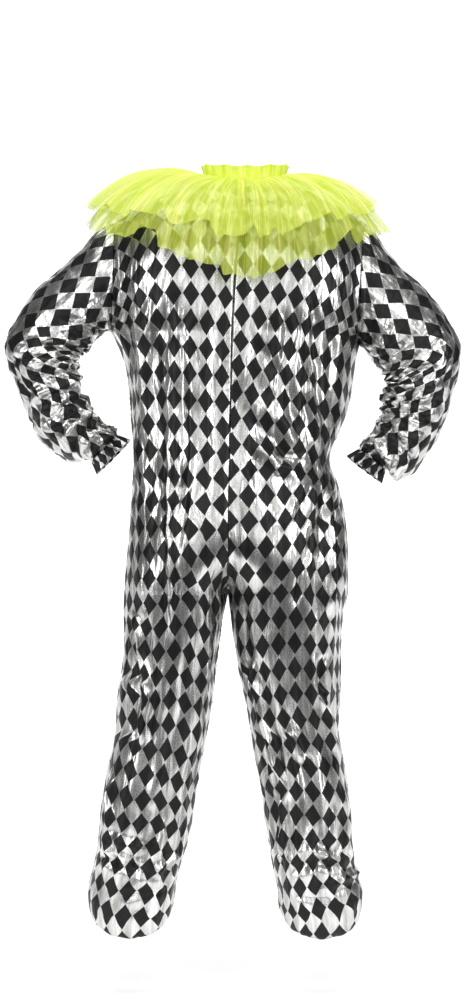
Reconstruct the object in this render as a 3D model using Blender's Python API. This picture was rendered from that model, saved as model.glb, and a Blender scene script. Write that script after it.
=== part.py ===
"""Clown jumpsuit in harlequin cloth with a two-layer organza ruff, hollow, as worn with the hands on the hips.

Metres, +Z up. The wearer faces -Y and the wearer's left is +X. The origin is the middle of the neck, level with
the neck ends of the shoulder seams. Every piece of cloth is a wall between an outer grid of points and the same grid
moved in along its normals. Pieces that are sewn together take their edges from one curve, a seam's gap apart.
"""

import bpy
import numpy as np

CLOTH = 0.0012  # body cloth's wall
ORGANZA = 0.0010  # ruff's wall
CASING = 0.0020  # folded cloth round an elastic
SEAM = 0.00015  # half the gap between two pieces at a seam
REST_GAP = 0.0003  # between a piece and what it lies against

# Neck opening, shoulders and armholes.
NECK_HALF_WIDTH = 0.078
NECK_BACK, NECK_FRONT = 0.068, 0.064  # how far the neckline reaches behind and before the shoulder seams
NECK_DROP_BACK, NECK_DROP_FRONT = 0.012, 0.045
SHOULDER_CURVE = 1.35  # over 1, the shoulder seam leaves the neck flatter than it meets the sleeve
SHOULDER_TIP = {1: (0.2535, -0.075), -1: (-0.2310, -0.075)}  # x, z by side: 1 left, -1 right
ARMPIT_Z = {1: -0.2805, -1: -0.302}
CHEST_Z = -0.291  # where the row between the armpits crosses the centre seams
ARMHOLE_HALF_DEPTH = 0.086
ARMHOLE_BOW = 0.009  # how far its back and front curve in towards the centre

# Crotch and leg ends.
SEAT_Z, CROTCH_Z = -0.600, -0.781
LEG_END_Z = -1.365  # where the leg starts to turn under
TURN_DOWN, TURN_IN, TURN_UP = 0.055, 0.016, 0.045
HEM_START_Z = -1.25  # from here down the leg's end hangs unevenly: it is moved up this far by place
HEM_BACK, HEM_SIDE, HEM_FRONT = -0.009, 0.020, 0.010
BODY_ROUNDNESS = 2.35  # exponent of the sections' rounded outline; 2 is an ellipse
SEAM_FADE = 0.022  # folds die out over this distance from a seam
LEG_FADE = (0.02, 0.08)  # below the crotch, folds start and then fully cross the leg's seams

# Numbers of grid steps.
YOKE_STEPS, TORSO_STEPS, FORK_STEPS, LEG_STEPS, TURN_STEPS = 8, 8, 6, 14, 4
PANEL_STEPS, NECK_STEPS = 10, 5  # across a panel, and those of them that lie on the neckline
SLEEVE_STEPS = 25  # along a sleeve


def table(names, *rows):
    """A table as a dict of columns."""
    return dict(zip(names.split(), np.array(rows, float).T))


# Outline of body and legs: x of the side seams and of the inner edges, which are the centre seams to the crotch.
OUTLINE = table(
    "z left_out left_in right_in right_out",
    (-0.271, 0.2650, 0.0236, 0.0236, -0.2250),
    (-0.290, 0.2545, 0.0247, 0.0247, -0.2235),
    (-0.310, 0.2420, 0.0257, 0.0257, -0.2190),
    (-0.335, 0.2328, 0.0262, 0.0262, -0.2135),
    (-0.367, 0.2272, 0.0266, 0.0266, -0.2085),
    (-0.400, 0.2230, 0.0271, 0.0271, -0.2045),
    (-0.442, 0.2195, 0.0280, 0.0280, -0.1939),
    (-0.490, 0.2150, 0.0288, 0.0288, -0.1737),
    (-0.528, 0.2141, 0.0295, 0.0295, -0.1620),
    (-0.576, 0.2160, 0.0303, 0.0303, -0.1785),
    (-0.624, 0.2199, 0.0310, 0.0310, -0.1885),
    (-0.682, 0.2241, 0.0318, 0.0318, -0.1958),
    (-0.730, 0.2291, 0.0324, 0.0324, -0.1980),
    (-0.781, 0.2310, 0.0330, 0.0330, -0.1975),
    (-0.826, 0.2320, 0.0419, 0.0269, -0.1891),
    (-0.874, 0.2325, 0.0476, 0.0204, -0.1843),
    (-0.931, 0.2368, 0.0551, 0.0106, -0.1824),
    (-0.989, 0.2452, 0.0615, -0.0019, -0.1800),
    (-1.046, 0.2505, 0.0716, -0.0102, -0.1785),
    (-1.104, 0.2608, 0.0858, -0.0207, -0.1875),
    (-1.162, 0.2736, 0.0979, -0.0326, -0.1955),
    (-1.219, 0.2815, 0.1040, -0.0386, -0.1997),
    (-1.277, 0.2865, 0.1152, -0.0475, -0.2050),
    (-1.325, 0.2945, 0.1267, -0.0545, -0.2140),
    (-1.365, 0.3030, 0.1350, -0.0624, -0.2255),
)
# Side view: how far the cloth reaches behind and before the side seams, from the neck down.
DEPTH = table(
    "z back front",
    (-0.012, 0.068, 0.052),
    (-0.045, 0.090, 0.064),
    (-0.090, 0.114, 0.086),
    (-0.150, 0.131, 0.108),
    (-0.210, 0.138, 0.124),
    (-0.271, 0.139, 0.133),
    (-0.355, 0.134, 0.139),
    (-0.470, 0.125, 0.140),
    (-0.560, 0.133, 0.137),
    (-0.650, 0.146, 0.131),
    (-0.720, 0.143, 0.125),
    (-0.781, 0.130, 0.119),
    (-0.860, 0.118, 0.111),
    (-0.960, 0.105, 0.104),
    (-1.060, 0.097, 0.099),
    (-1.190, 0.098, 0.090),
    (-1.300, 0.095, 0.089),
    (-1.365, 0.090, 0.089),
)
# Long folds that fall down a panel: place across it from the inner edge (0) to the side seam (1), top and bottom,
# how far the cloth stands out (+) or sinks in (-), and half its width. side 1 is left; face 1 is the back.
LONG_FOLDS = table(
    "side face across_top across_bottom top bottom height half_width",
    (1, 1, 0.40, 0.45, -0.20, -1.02, -0.0085, 0.016),
    (1, 1, 0.52, 0.56, -0.25, -0.95, 0.0060, 0.017),
    (1, 1, 0.70, 0.74, -0.30, -0.78, -0.0065, 0.018),
    (-1, 1, 0.52, 0.66, -0.18, -0.53, -0.0090, 0.017),
    (-1, 1, 0.70, 0.80, -0.26, -0.52, 0.0065, 0.017),
    (-1, 1, 0.66, 0.58, -0.53, -0.90, -0.0085, 0.016),
    (-1, 1, 0.84, 0.76, -0.54, -0.84, -0.0075, 0.015),
    (-1, 1, 0.16, 0.20, -0.84, -1.14, -0.0060, 0.016),
    (1, 1, 0.16, 0.22, -0.86, -1.16, -0.0055, 0.017),
    (1, -1, 0.34, 0.40, -0.24, -0.98, -0.0080, 0.017),
    (1, -1, 0.62, 0.60, -0.22, -0.74, -0.0070, 0.018),
    (1, -1, 0.22, 0.26, -0.86, -1.20, -0.0055, 0.016),
    (-1, -1, 0.38, 0.46, -0.22, -1.00, -0.0080, 0.017),
    (-1, -1, 0.66, 0.74, -0.24, -0.54, -0.0085, 0.016),
    (-1, -1, 0.80, 0.70, -0.54, -0.86, -0.0080, 0.016),
    (-1, -1, 0.20, 0.26, -0.88, -1.20, -0.0055, 0.016),
)
# Cross folds that ring a leg where its length is taken up: height of the fold, its size, half height and tilt.
CROSS_FOLDS = table(
    "side z height half_height tilt",
    (1, -0.985, 0.0045, 0.022, 0.24),
    (1, -1.040, -0.0050, 0.022, 0.20),
    (1, -1.285, 0.0060, 0.020, -0.16),
    (1, -1.328, -0.0060, 0.017, -0.10),
    (-1, -0.965, -0.0045, 0.022, -0.22),
    (-1, -1.020, 0.0050, 0.022, -0.20),
    (-1, -1.275, 0.0060, 0.020, 0.12),
    (-1, -1.318, -0.0065, 0.017, 0.05),
)
# Sleeves as pairs of points on their outer and inner edge, with the middle and half depth of the section.
LEFT_SLEEVE = table(
    "outer_x outer_z inner_x inner_z mid_y half_depth",
    (0.2535, -0.0750, 0.2600, -0.2805, 0.000, 0.086),
    (0.2850, -0.0930, 0.2660, -0.2840, 0.004, 0.086),
    (0.3180, -0.1280, 0.2720, -0.2885, 0.009, 0.084),
    (0.3530, -0.1640, 0.2790, -0.2940, 0.016, 0.081),
    (0.3860, -0.1940, 0.2870, -0.3030, 0.024, 0.077),
    (0.4150, -0.2310, 0.2950, -0.3150, 0.032, 0.073),
    (0.4400, -0.2770, 0.3060, -0.3250, 0.040, 0.068),
    (0.4520, -0.3080, 0.3140, -0.3340, 0.045, 0.067),
    (0.4500, -0.3400, 0.3150, -0.3480, 0.047, 0.066),
    (0.4400, -0.3730, 0.3130, -0.3660, 0.045, 0.065),
    (0.4230, -0.4150, 0.3060, -0.3930, 0.038, 0.064),
    (0.4080, -0.4530, 0.2940, -0.4200, 0.029, 0.064),
    (0.3920, -0.4830, 0.2800, -0.4450, 0.020, 0.066),
    (0.3680, -0.5080, 0.2620, -0.4620, 0.012, 0.066),
    (0.3370, -0.5290, 0.2500, -0.4660, 0.006, 0.056),
    (0.3080, -0.5290, 0.2470, -0.4725, 0.002, 0.040),
    (0.2965, -0.5275, 0.2465, -0.4775, 0.000, 0.031),
    (0.2935, -0.5310, 0.2445, -0.4810, 0.000, 0.031),
)
RIGHT_SLEEVE = table(
    "outer_x outer_z inner_x inner_z mid_y half_depth",
    (-0.2310, -0.0750, -0.2207, -0.3020, 0.000, 0.086),
    (-0.2520, -0.1020, -0.2285, -0.3130, 0.004, 0.086),
    (-0.2740, -0.1330, -0.2350, -0.3240, 0.009, 0.084),
    (-0.3010, -0.1640, -0.2420, -0.3370, 0.016, 0.081),
    (-0.3290, -0.1910, -0.2500, -0.3500, 0.024, 0.077),
    (-0.3580, -0.2250, -0.2590, -0.3640, 0.032, 0.073),
    (-0.3850, -0.2640, -0.2670, -0.3750, 0.040, 0.070),
    (-0.4080, -0.3040, -0.2740, -0.3830, 0.046, 0.068),
    (-0.4090, -0.3350, -0.2730, -0.3930, 0.048, 0.067),
    (-0.4020, -0.3700, -0.2690, -0.4050, 0.047, 0.066),
    (-0.3920, -0.4090, -0.2640, -0.4180, 0.042, 0.065),
    (-0.3790, -0.4520, -0.2600, -0.4350, 0.036, 0.065),
    (-0.3620, -0.4940, -0.2550, -0.4520, 0.029, 0.066),
    (-0.3390, -0.5310, -0.2440, -0.4700, 0.022, 0.065),
    (-0.3130, -0.5600, -0.2270, -0.4880, 0.016, 0.058),
    (-0.2880, -0.5590, -0.2200, -0.4985, 0.012, 0.042),
    (-0.2710, -0.5440, -0.2205, -0.5045, 0.010, 0.031),
    (-0.2675, -0.5475, -0.2176, -0.5085, 0.010, 0.031),
)
SLEEVES = {1: LEFT_SLEEVE, -1: RIGHT_SLEEVE}
# Folds that ring a sleeve: place along it, size and half width as a share of its length, and side of the tube in
# degrees from its outer edge towards the back, about which the fold is deepest, and how far round it reaches.
SLEEVE_FOLDS = table(
    "side along height half_width deepest reach",
    (1, 0.300, -0.0050, 0.026, 180, 75),
    (1, 0.380, 0.0060, 0.030, 170, 80),
    (1, 0.455, -0.0085, 0.026, 165, 80),
    (1, 0.530, 0.0075, 0.028, 150, 85),
    (1, 0.600, -0.0080, 0.026, 150, 85),
    (1, 0.665, 0.0060, 0.028, 130, 90),
    (1, 0.740, -0.0065, 0.026, 100, 110),
    (-1, 0.310, -0.0050, 0.026, 180, 75),
    (-1, 0.385, 0.0060, 0.030, 170, 80),
    (-1, 0.455, -0.0085, 0.026, 160, 80),
    (-1, 0.525, 0.0075, 0.028, 155, 85),
    (-1, 0.600, -0.0080, 0.026, 140, 85),
    (-1, 0.675, 0.0060, 0.028, 120, 90),
    (-1, 0.745, -0.0065, 0.026, 100, 110),
)

# Cuff frills and ankle casings.
CUFF_LENGTH, CUFF_FLARE, CUFF_GATHERS, CUFF_WAVE = 0.026, 0.008, 15, 0.0032
CASING_HEIGHT, CASING_GATHERS, CASING_WAVE = 0.014, 12, 0.0016
FRILL_START = 0.35  # height of a frill's waves at its gathered edge, as a share of their height at its free edge

# Neck band and ruff. Round the neck, 0 degrees is the wearer's left, 90 the back, 180 the right and 270 the front.
BAND_HEIGHT = 0.016
BAND_SPLIT = 0.0022  # half the opening at the centre back, which the zip closes
RUFF_GATHERS = 26
RUFF_SPLIT = 1.2  # degrees, half the opening of each ruff at the centre back
# Each ruff leaves the band at an upward angle and bends down to its angle at the hem, over its cut length.
RUFF = table(
    "azimuth start_angle hem_angle lower_length upper_length",
    (0, 16, -60, 0.262, 0.246),
    (40, -2, -72, 0.226, 0.200),
    (90, -24, -94, 0.240, 0.194),
    (140, -4, -82, 0.220, 0.186),
    (180, 3, -58, 0.222, 0.196),
    (225, 10, -76, 0.216, 0.186),
    (270, -34, -80, 0.210, 0.166),
    (320, 8, -62, 0.226, 0.200),
)
LOWER_RUFF_Z, UPPER_RUFF_Z = 0.0052, 0.0125  # above the neckline, where each ruff meets the band
RUFF_WAVE = 0.009  # how far a ruff's waves stand out at its hem
RUFF_UNEVENNESS, RUFF_DRIFT = 0.3, 0.5  # of the waves' height as a share, and of their places in radians
RUFF_LIFT = 5.0  # degrees that the upper ruff's strands start above the lower ruff's
RUFF_STEPS = 4  # from band to hem
HEADING_HEIGHT, HEADING_GATHERS, HEADING_WAVE, HEADING_LEAN = 0.020, 22, 0.0026, 0.004

# Zip down the centre back.
ZIP_TOP_Z, ZIP_BOTTOM_Z = -0.020, -0.484
ZIP_HALF_GAP = 0.0021  # from the centre line to the panel's edge
TAPE_HALF_WIDTH, TAPE_THICKNESS, COIL_HALF_WIDTH = 0.011, 0.0008, 0.0014
SLIDER_LENGTH, SLIDER_HALF_WIDTH, SLIDER_THICKNESS = 0.009, 0.0032, 0.0020
SLIDER_FROM_TOP, SLIDER_CLEARANCE = 0.002, 0.0006
BRIDGE_HALF_WIDTH, BRIDGE_RISE, BRIDGE_BAR, BRIDGE_POST, BRIDGE_MARGIN = 0.0009, 0.0029, 0.0010, 0.0015, 0.0015
PULL_LENGTH, PULL_HALF_WIDTH, PULL_THICKNESS = 0.022, 0.0028, 0.0012
PULL_EYE_HALF_WIDTH, PULL_EYE_LENGTH = 0.0013, 0.0044

MATERIALS = {  # base colour, roughness, metallic
    "harlequin_foil_cloth": ((0.42, 0.43, 0.42, 1), 0.32, 0.75),
    "lime_organza": ((0.62, 0.80, 0.10, 1), 0.55, 0.0),
    "black_zip": ((0.02, 0.02, 0.02, 1), 0.5, 0.0),
    "black_metal": ((0.05, 0.05, 0.05, 1), 0.35, 0.9),
}


def through(at, keys, values):
    """Values on a smooth curve through the keys: cubic pieces, each key's slope the chord of its neighbours."""
    order = np.argsort(keys)
    keys, values = keys[order], values[order]
    slopes = np.gradient(values, keys)
    at = np.clip(at, keys[0], keys[-1])
    i = np.clip(np.searchsorted(keys, at) - 1, 0, len(keys) - 2)
    span = keys[i + 1] - keys[i]
    t = (at - keys[i]) / span
    start, end = values[i], values[i + 1]
    return (
        start * (1 + 2 * t) * (1 - t) ** 2
        + end * t**2 * (3 - 2 * t)
        + span * t * (1 - t) * (slopes[i] * (1 - t) - slopes[i + 1] * t)
    )


def lengths(points):
    """Distance along each row of points, from its first."""
    steps = np.linalg.norm(np.diff(points, axis=1), axis=2)
    return np.concatenate([np.zeros((len(points), 1)), np.cumsum(steps, axis=1)], axis=1)


def evened(points, shares):
    """Each row of points sampled at these shares of its own length."""
    along = lengths(points)
    rows = []
    for row, way in zip(points, along):
        at = shares * way[-1]
        rows.append(np.stack([np.interp(at, way, row[:, k]) for k in range(3)], axis=1))
    return np.array(rows)


def bump(offset, half_width):
    """A soft hump of height 1 that is gone at twice its half width."""
    return np.exp(-((offset / half_width) ** 2))


def eased(at, low, high):
    """0 below low, 1 above high and a smooth step between."""
    t = np.clip((at - low) / (high - low), 0, 1)
    return t * t * (3 - 2 * t)


def edge_x(side, z, edge):
    """x of a panel's inner or side edge. Down to the crotch both sides' inner edges are one line."""
    left, right = (through(z, OUTLINE["z"], OUTLINE[word + edge]) for word in ("left_", "right_"))
    own = left if side > 0 else right
    return np.where(z > CROTCH_Z, (left + right) / 2, own) if edge == "in" else own


def depth(face, z):
    return through(z, DEPTH["z"], DEPTH["back" if face > 0 else "front"])


def hem_sag(z, to_back, turn_in):
    """How far cloth near the leg's end is moved up. to_back is 1 at the back, 0 at the sides and -1 in front."""
    slant, bow = (HEM_BACK - HEM_FRONT) / 2, (HEM_BACK + HEM_FRONT) / 2 - HEM_SIDE
    bend = HEM_SIDE + slant * to_back + bow * to_back**2
    return bend * eased(-z, -HEM_START_Z, -LEG_END_Z) * np.clip(4 - 2 * turn_in / TURN_IN, 0, 1)


def sections(side, face, centre_z, side_z, turn_in, dense=160):
    """Rows of a panel below the armpit: each from the inner edge at one height round to the side seam at another.

    Each is part of a rounded outline. Above the seat it is a quarter, from the centre seam. Below the crotch it is
    a half, from the inside leg. Between them the start moves round, so the centre seam follows a J to the crotch.
    """
    round_to_side = np.linspace(0, 1, dense)[None, :]
    centre_z, side_z, turn_in = centre_z[:, None], side_z[:, None], turn_in[:, None]
    z = centre_z + (side_z - centre_z) * round_to_side**2
    inner, outer = edge_x(side, z, "in"), edge_x(side, z, "out")
    share = eased(-centre_z, -SEAT_Z, -CROTCH_Z)
    reach = share / (2 - share)
    inner = inner + side * SEAM
    width = outer - inner
    middle = inner + share * width / 2
    half_width = width * (1 - share / 2) - side * turn_in
    half_depth = depth(face, z) - turn_in
    power = 2 / BODY_ROUNDNESS
    start = np.arccos(-(reach ** (1 / power)))
    angle = start * (1 - round_to_side)
    x = middle + half_width * np.sign(np.cos(angle)) * np.abs(np.cos(angle)) ** power
    to_back = face * np.abs(np.sin(angle)) ** power
    z = z + hem_sag(z, to_back, turn_in)
    return np.stack(np.broadcast_arrays(x, half_depth * to_back, z), axis=2)


def top_edge(side, face):
    """The panel's top edge, from the centre along the neckline and then the shoulder seam to the armhole."""
    reach, drop = (NECK_BACK, NECK_DROP_BACK) if face > 0 else (NECK_FRONT, NECK_DROP_FRONT)
    angle = np.linspace(np.pi / 2, 0, NECK_STEPS + 1)
    neck_x, neck_y, neck_z = NECK_HALF_WIDTH * np.cos(angle), reach * np.sin(angle), -drop * np.sin(angle) ** 2
    tip_x, tip_z = SHOULDER_TIP[side]
    t = np.linspace(0, 1, PANEL_STEPS - NECK_STEPS + 1)[1:]
    start_x = side * NECK_HALF_WIDTH
    neck = np.stack([side * neck_x, face * neck_y, neck_z], axis=1)
    seam = np.stack([start_x + (tip_x - start_x) * t, 0 * t, tip_z * t**SHOULDER_CURVE], axis=1)
    return np.concatenate([neck, seam])


def armhole(side, face, share):
    """Points of the armhole from the armpit (0) to the shoulder tip (1), by way of the back or the front."""
    low_z, (high_x, high_z) = ARMPIT_Z[side], SHOULDER_TIP[side]
    low_x = edge_x(side, low_z, "out")
    rise = (1 - np.cos(np.pi * share)) / 2
    return np.stack(
        [
            low_x + (high_x - low_x) * rise - side * ARMHOLE_BOW * np.sin(np.pi * share),
            face * ARMHOLE_HALF_DEPTH * np.sin(np.pi * share),
            low_z + (high_z - low_z) * rise,
        ],
        axis=-1,
    )


def yoke(side, face, share, across, chest):
    """Rows above the armpit: a patch between the chest row, the armhole, the top edge and the centre seam.

    share is 0 at the chest and 1 at the top. The columns rise as quarter ovals, so they pass level over the
    shoulder.
    """
    top = top_edge(side, face)
    weight = np.stack([share, 1 - np.cos(np.pi * share / 2), np.sin(np.pi * share / 2)], axis=1)[:, None, :]
    arm = armhole(side, face, share)
    centre_z = chest[0, 2] + (top[0, 2] - chest[0, 2]) * weight[:, 0, 2]
    top[0, 0] = side * SEAM
    centre_x = chest[0, 0] + (top[0, 0] - chest[0, 0]) * share
    centre_y = face * depth(face, centre_z)
    centre_y = centre_y + (top[0, 1] - centre_y[0]) * share**4
    centre = np.stack([centre_x, centre_y, centre_z], axis=1)
    u = across[None, :, None]
    return (
        (1 - weight) * chest[None]
        + weight * top[None]
        + (1 - u) * (centre[:, None] - (1 - weight) * chest[0] - weight * top[0])
        + u * (arm[:, None] - (1 - weight) * chest[-1] - weight * top[-1])
    )


def levels(side):
    """Heights of the rows below the armpit at the inner edge and at the side, and how far each is turned in."""
    torso = np.linspace(CHEST_Z, SEAT_Z, TORSO_STEPS + 1)
    torso_side = np.linspace(ARMPIT_Z[side], SEAT_Z, TORSO_STEPS + 1)
    fork = SEAT_Z + (CROTCH_Z - SEAT_Z) * np.sin(np.linspace(0, np.pi / 2, FORK_STEPS + 1)[1:])
    leg = np.linspace(CROTCH_Z, LEG_END_Z, LEG_STEPS + 1)[1:]
    turn = np.linspace(0, np.pi, TURN_STEPS + 1)[1:]
    low = LEG_END_Z - TURN_DOWN
    first, second = LEG_END_Z - TURN_DOWN * np.sin(turn), low + TURN_UP * (1 - np.sin(turn)) / 2
    under = np.where(turn <= np.pi / 2, first, second)
    end = under[-1] + TURN_UP / 3
    below = np.concatenate([fork, leg, under, [end]])
    turn_in = np.concatenate([0 * torso, 0 * fork, 0 * leg, TURN_IN * (1 - np.cos(turn)), [2 * TURN_IN]])
    return np.concatenate([torso, below]), np.concatenate([torso_side, below]), turn_in


def normals_of(grids, closed):
    """Unit normals at each grid's points. Points that grids share at a seam get one normal between them."""
    totals = {}
    sums = []
    for points, ring in zip(grids, closed):
        wrapped = np.concatenate([points, points[:, :1]], axis=1) if ring else points
        a, b = wrapped[:-1, :-1], wrapped[1:, 1:]
        c, d = wrapped[1:, :-1], wrapped[:-1, 1:]
        face = np.cross(b - a, d - c)
        face /= np.maximum(np.linalg.norm(face, axis=2, keepdims=True), 1e-12)
        total = np.zeros_like(wrapped)
        for rows in (slice(None, -1), slice(1, None)):
            for columns in (slice(None, -1), slice(1, None)):
                total[rows, columns] += face
        if ring:
            total[:, 0] += total[:, -1]
            total = total[:, :-1]
        sums.append(total)
        for key, value in zip(keys_of(points), total.reshape(-1, 3)):
            totals[key] = totals.get(key, 0) + value
    shared = []
    for points, total in zip(grids, sums):
        found = np.array([totals[key] for key in keys_of(points)]).reshape(points.shape)
        shared.append(found / np.linalg.norm(found, axis=2, keepdims=True))
    return shared


def ring_normals(rings):
    """Normals of a tube, away from its middle."""
    normal = normals_of([rings], [True])[0]
    return normal * np.sign(np.sum(normal * (rings - rings.mean(axis=1, keepdims=True))))


def open_normals(rows):
    """Normals of a strip, turned up or away from the neck."""
    normal = normals_of([rows], [False])[0]
    return normal * np.sign(np.sum(normal * (rows * (1, 1, 0) + (0, 0, 0.3))))


def keys_of(points):
    """Each point's place to a hundredth of a millimetre."""
    return [tuple(p) for p in np.round(points.reshape(-1, 3) * 1e5).astype(int)]


def moved_in(points, edges):
    """The grid with its named edges moved inwards along the cloth by half a seam's gap."""
    moved = points.copy()
    ways = {
        "inner": (slice(None), 0, 1),
        "outer": (slice(None), -1, -2),
        "top": (0, slice(None), 1),
        "bottom": (-1, slice(None), -2),
    }
    for edge in edges:
        row, column, next_one = ways[edge]
        neighbour = points[:, next_one] if isinstance(row, slice) else points[next_one]
        step = neighbour - points[row, column]
        moved[row, column] += SEAM * step / np.linalg.norm(step, axis=-1, keepdims=True)
    return moved


def wall(name, outer, normals, thickness, material, ring=False):
    """A closed wall: the outer grid, the grid moved in along its normals, and the strips that join their edges."""
    inner = outer - normals * thickness
    rows, columns = outer.shape[:2]
    count = rows * columns
    across = range(columns if ring else columns - 1)
    faces = []
    for r in range(rows - 1):
        for c in across:
            n = (c + 1) % columns
            a, b, d, e = r * columns + c, r * columns + n, (r + 1) * columns + n, (r + 1) * columns + c
            faces += [(a, e, d, b), (count + a, count + b, count + d, count + e)]
    last = (rows - 1) * columns
    for c in across:
        n = (c + 1) % columns
        faces += [(c, n, count + n, count + c), (last + n, last + c, count + last + c, count + last + n)]
    if not ring:
        for r in range(rows - 1):
            a, b = r * columns, (r + 1) * columns
            c, d = a + columns - 1, b + columns - 1
            faces += [(b, a, count + a, count + b), (c, d, count + d, count + c)]
    return solid(name, np.concatenate([outer.reshape(-1, 3), inner.reshape(-1, 3)]), faces, material)


def solid(name, points, faces, material):
    mesh = bpy.data.meshes.new(name)
    mesh.from_pydata([tuple(p) for p in points], [], faces)
    mesh.update()
    fans = [(f[0], f[i], f[i + 1]) for f in faces for i in range(1, len(f) - 1)]
    volume = sum(np.dot(points[a], np.cross(points[b], points[c])) for a, b, c in fans)
    if volume < 0:
        mesh.flip_normals()
    mesh.shade_smooth()
    mesh.set_sharp_from_angle(angle=np.radians(50))
    mesh.materials.append(material_of(material))
    made = bpy.data.objects.new(name, mesh)
    bpy.context.scene.collection.objects.link(made)
    return made


def material_of(name):
    made = bpy.data.materials.get(name)
    if made is None:
        colour, roughness, metallic = MATERIALS[name]
        made = bpy.data.materials.new(name)
        made.use_nodes = True
        shader = made.node_tree.nodes["Principled BSDF"]
        shader.inputs["Base Color"].default_value = colour
        shader.inputs["Roughness"].default_value = roughness
        shader.inputs["Metallic"].default_value = metallic
    return made


def folded(side, face, points, normal):
    """The panel with its folds. Long folds fade out towards the seams; cross folds pass over those of the leg."""
    along = lengths(points)
    z = points[:, :, 2]
    height = np.zeros(z.shape)
    for row in range(len(LONG_FOLDS["side"])):
        fold = {name: column[row] for name, column in LONG_FOLDS.items()}
        if (fold["side"], fold["face"]) != (side, face):
            continue
        share = np.clip((fold["top"] - z) / (fold["top"] - fold["bottom"]), 0, 1)
        place = (fold["across_top"] + (fold["across_bottom"] - fold["across_top"]) * share) * along[:, -1:]
        fade = eased(share, 0, 0.2) * (1 - eased(share, 0.75, 1))
        height += fold["height"] * fade * bump(along - place, fold["half_width"])
    for row in range(len(CROSS_FOLDS["side"])):
        fold = {name: column[row] for name, column in CROSS_FOLDS.items()}
        if fold["side"] != side:
            continue
        middle_x = (edge_x(side, z, "in") + edge_x(side, z, "out")) / 2
        place = fold["z"] + fold["tilt"] * (points[:, :, 0] - middle_x)
        height += fold["height"] * bump(z - place, fold["half_height"])
    width = along[:, -1:]
    fade = eased(along, 0, SEAM_FADE) * eased(width - along, 0, SEAM_FADE)
    on_leg = eased(CROTCH_Z - z, *LEG_FADE)
    return points + normal * (height * np.maximum(fade, on_leg))[:, :, None]


def panel(side, face):
    """Outer points of a body panel, from its top edge to the leg's end, rows from the inner edge to the side."""
    across = np.linspace(0, 1, PANEL_STEPS + 1)
    lower = evened(sections(side, face, *levels(side)), across)
    share = np.linspace(1, 0, YOKE_STEPS + 1)[:-1]
    upper = yoke(side, face, share, across, lower[0])
    return np.concatenate([upper, lower])


def zip_opened(points):
    """A back panel with its centre edge drawn back from the centre line along the zip."""
    z = points[:, 0, 2]
    opening = eased(z, ZIP_BOTTOM_Z - 0.008, ZIP_BOTTOM_Z + 0.004)
    step = points[:, 1] - points[:, 0]
    moved = points.copy()
    moved[:, 0] += (ZIP_HALF_GAP - SEAM) * opening[:, None] * step / np.linalg.norm(step, axis=1, keepdims=True)
    return moved


def sleeve_rings(side):
    """Rings of a sleeve from the armhole to its elastic: ovals across each pair of edge points."""
    rows = SLEEVES[side]
    keys = np.linspace(0, 1, len(rows["mid_y"]))
    along = np.linspace(0, 1, SLEEVE_STEPS + 1)
    at = {name: through(along, keys, column)[:, None] for name, column in rows.items()}
    angle = np.linspace(0, 2 * np.pi, 2 * YOKE_STEPS + 1)[None, :-1]
    swing = np.cos(angle)
    middle_x, middle_z = (at["outer_x"] + at["inner_x"]) / 2, (at["outer_z"] + at["inner_z"]) / 2
    x = middle_x + (at["outer_x"] - at["inner_x"]) / 2 * swing
    z = middle_z + (at["outer_z"] - at["inner_z"]) / 2 * swing
    y = at["mid_y"] + at["half_depth"] * np.sin(angle)
    rings = np.stack(np.broadcast_arrays(x, y, z), axis=2)
    face = np.where(np.sin(angle[0]) >= 0, 1, -1)
    rings[0] = armhole(side, face, 1 - np.arccos(np.cos(angle[0])) / np.pi)
    return sleeve_folded(side, rings, along, np.degrees(angle))


def sleeve_folded(side, rings, along, degrees):
    """The rings with the folds that ring the tube, each deepest on one side of it."""
    normal = rings - rings.mean(axis=1, keepdims=True)
    normal /= np.linalg.norm(normal, axis=2, keepdims=True)
    height = np.zeros(rings.shape[:2])
    for row in range(len(SLEEVE_FOLDS["side"])):
        fold = {name: column[row] for name, column in SLEEVE_FOLDS.items()}
        if fold["side"] != side:
            continue
        turned = (degrees - fold["deepest"] + 180) % 360 - 180
        across = bump(along[:, None] - fold["along"], fold["half_width"])
        height += fold["height"] * across * bump(turned, fold["reach"])
    return rings + normal * height[:, :, None]


def gathered_ring(middle, wide, deep, gathers, wave, columns):
    """One ring of a gathered edge: an oval about its middle, with waves across it."""
    angle = np.linspace(0, 2 * np.pi, columns, endpoint=False)[:, None]
    radius = 1 + wave / np.linalg.norm(wide) * np.sin(gathers * angle)
    return middle + radius * (np.cos(angle) * wide + np.sin(angle) * deep)


def cuff(side):
    """The gathered frill beyond the sleeve's elastic."""
    rows = {name: column[-1] for name, column in SLEEVES[side].items()}
    outer = np.array([rows["outer_x"], rows["mid_y"], rows["outer_z"]])
    inner = np.array([rows["inner_x"], rows["mid_y"], rows["inner_z"]])
    middle, wide = (outer + inner) / 2, (outer - inner) / 2
    deep = np.array([0, rows["half_depth"], 0])
    way = np.cross(wide, deep)
    way /= np.linalg.norm(way)
    way *= np.sign(way @ (0, 0, -1))
    rings = []
    for share in (0, 1):
        grown = 1 + CUFF_FLARE * share / np.linalg.norm(wide)
        start = middle + way * (2 * SEAM + CUFF_LENGTH * share)
        wave = CUFF_WAVE * (FRILL_START + (1 - FRILL_START) * share)
        rings.append(gathered_ring(start, wide * grown, deep * grown, CUFF_GATHERS, wave, 4 * CUFF_GATHERS))
    return np.array(rings)


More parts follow.
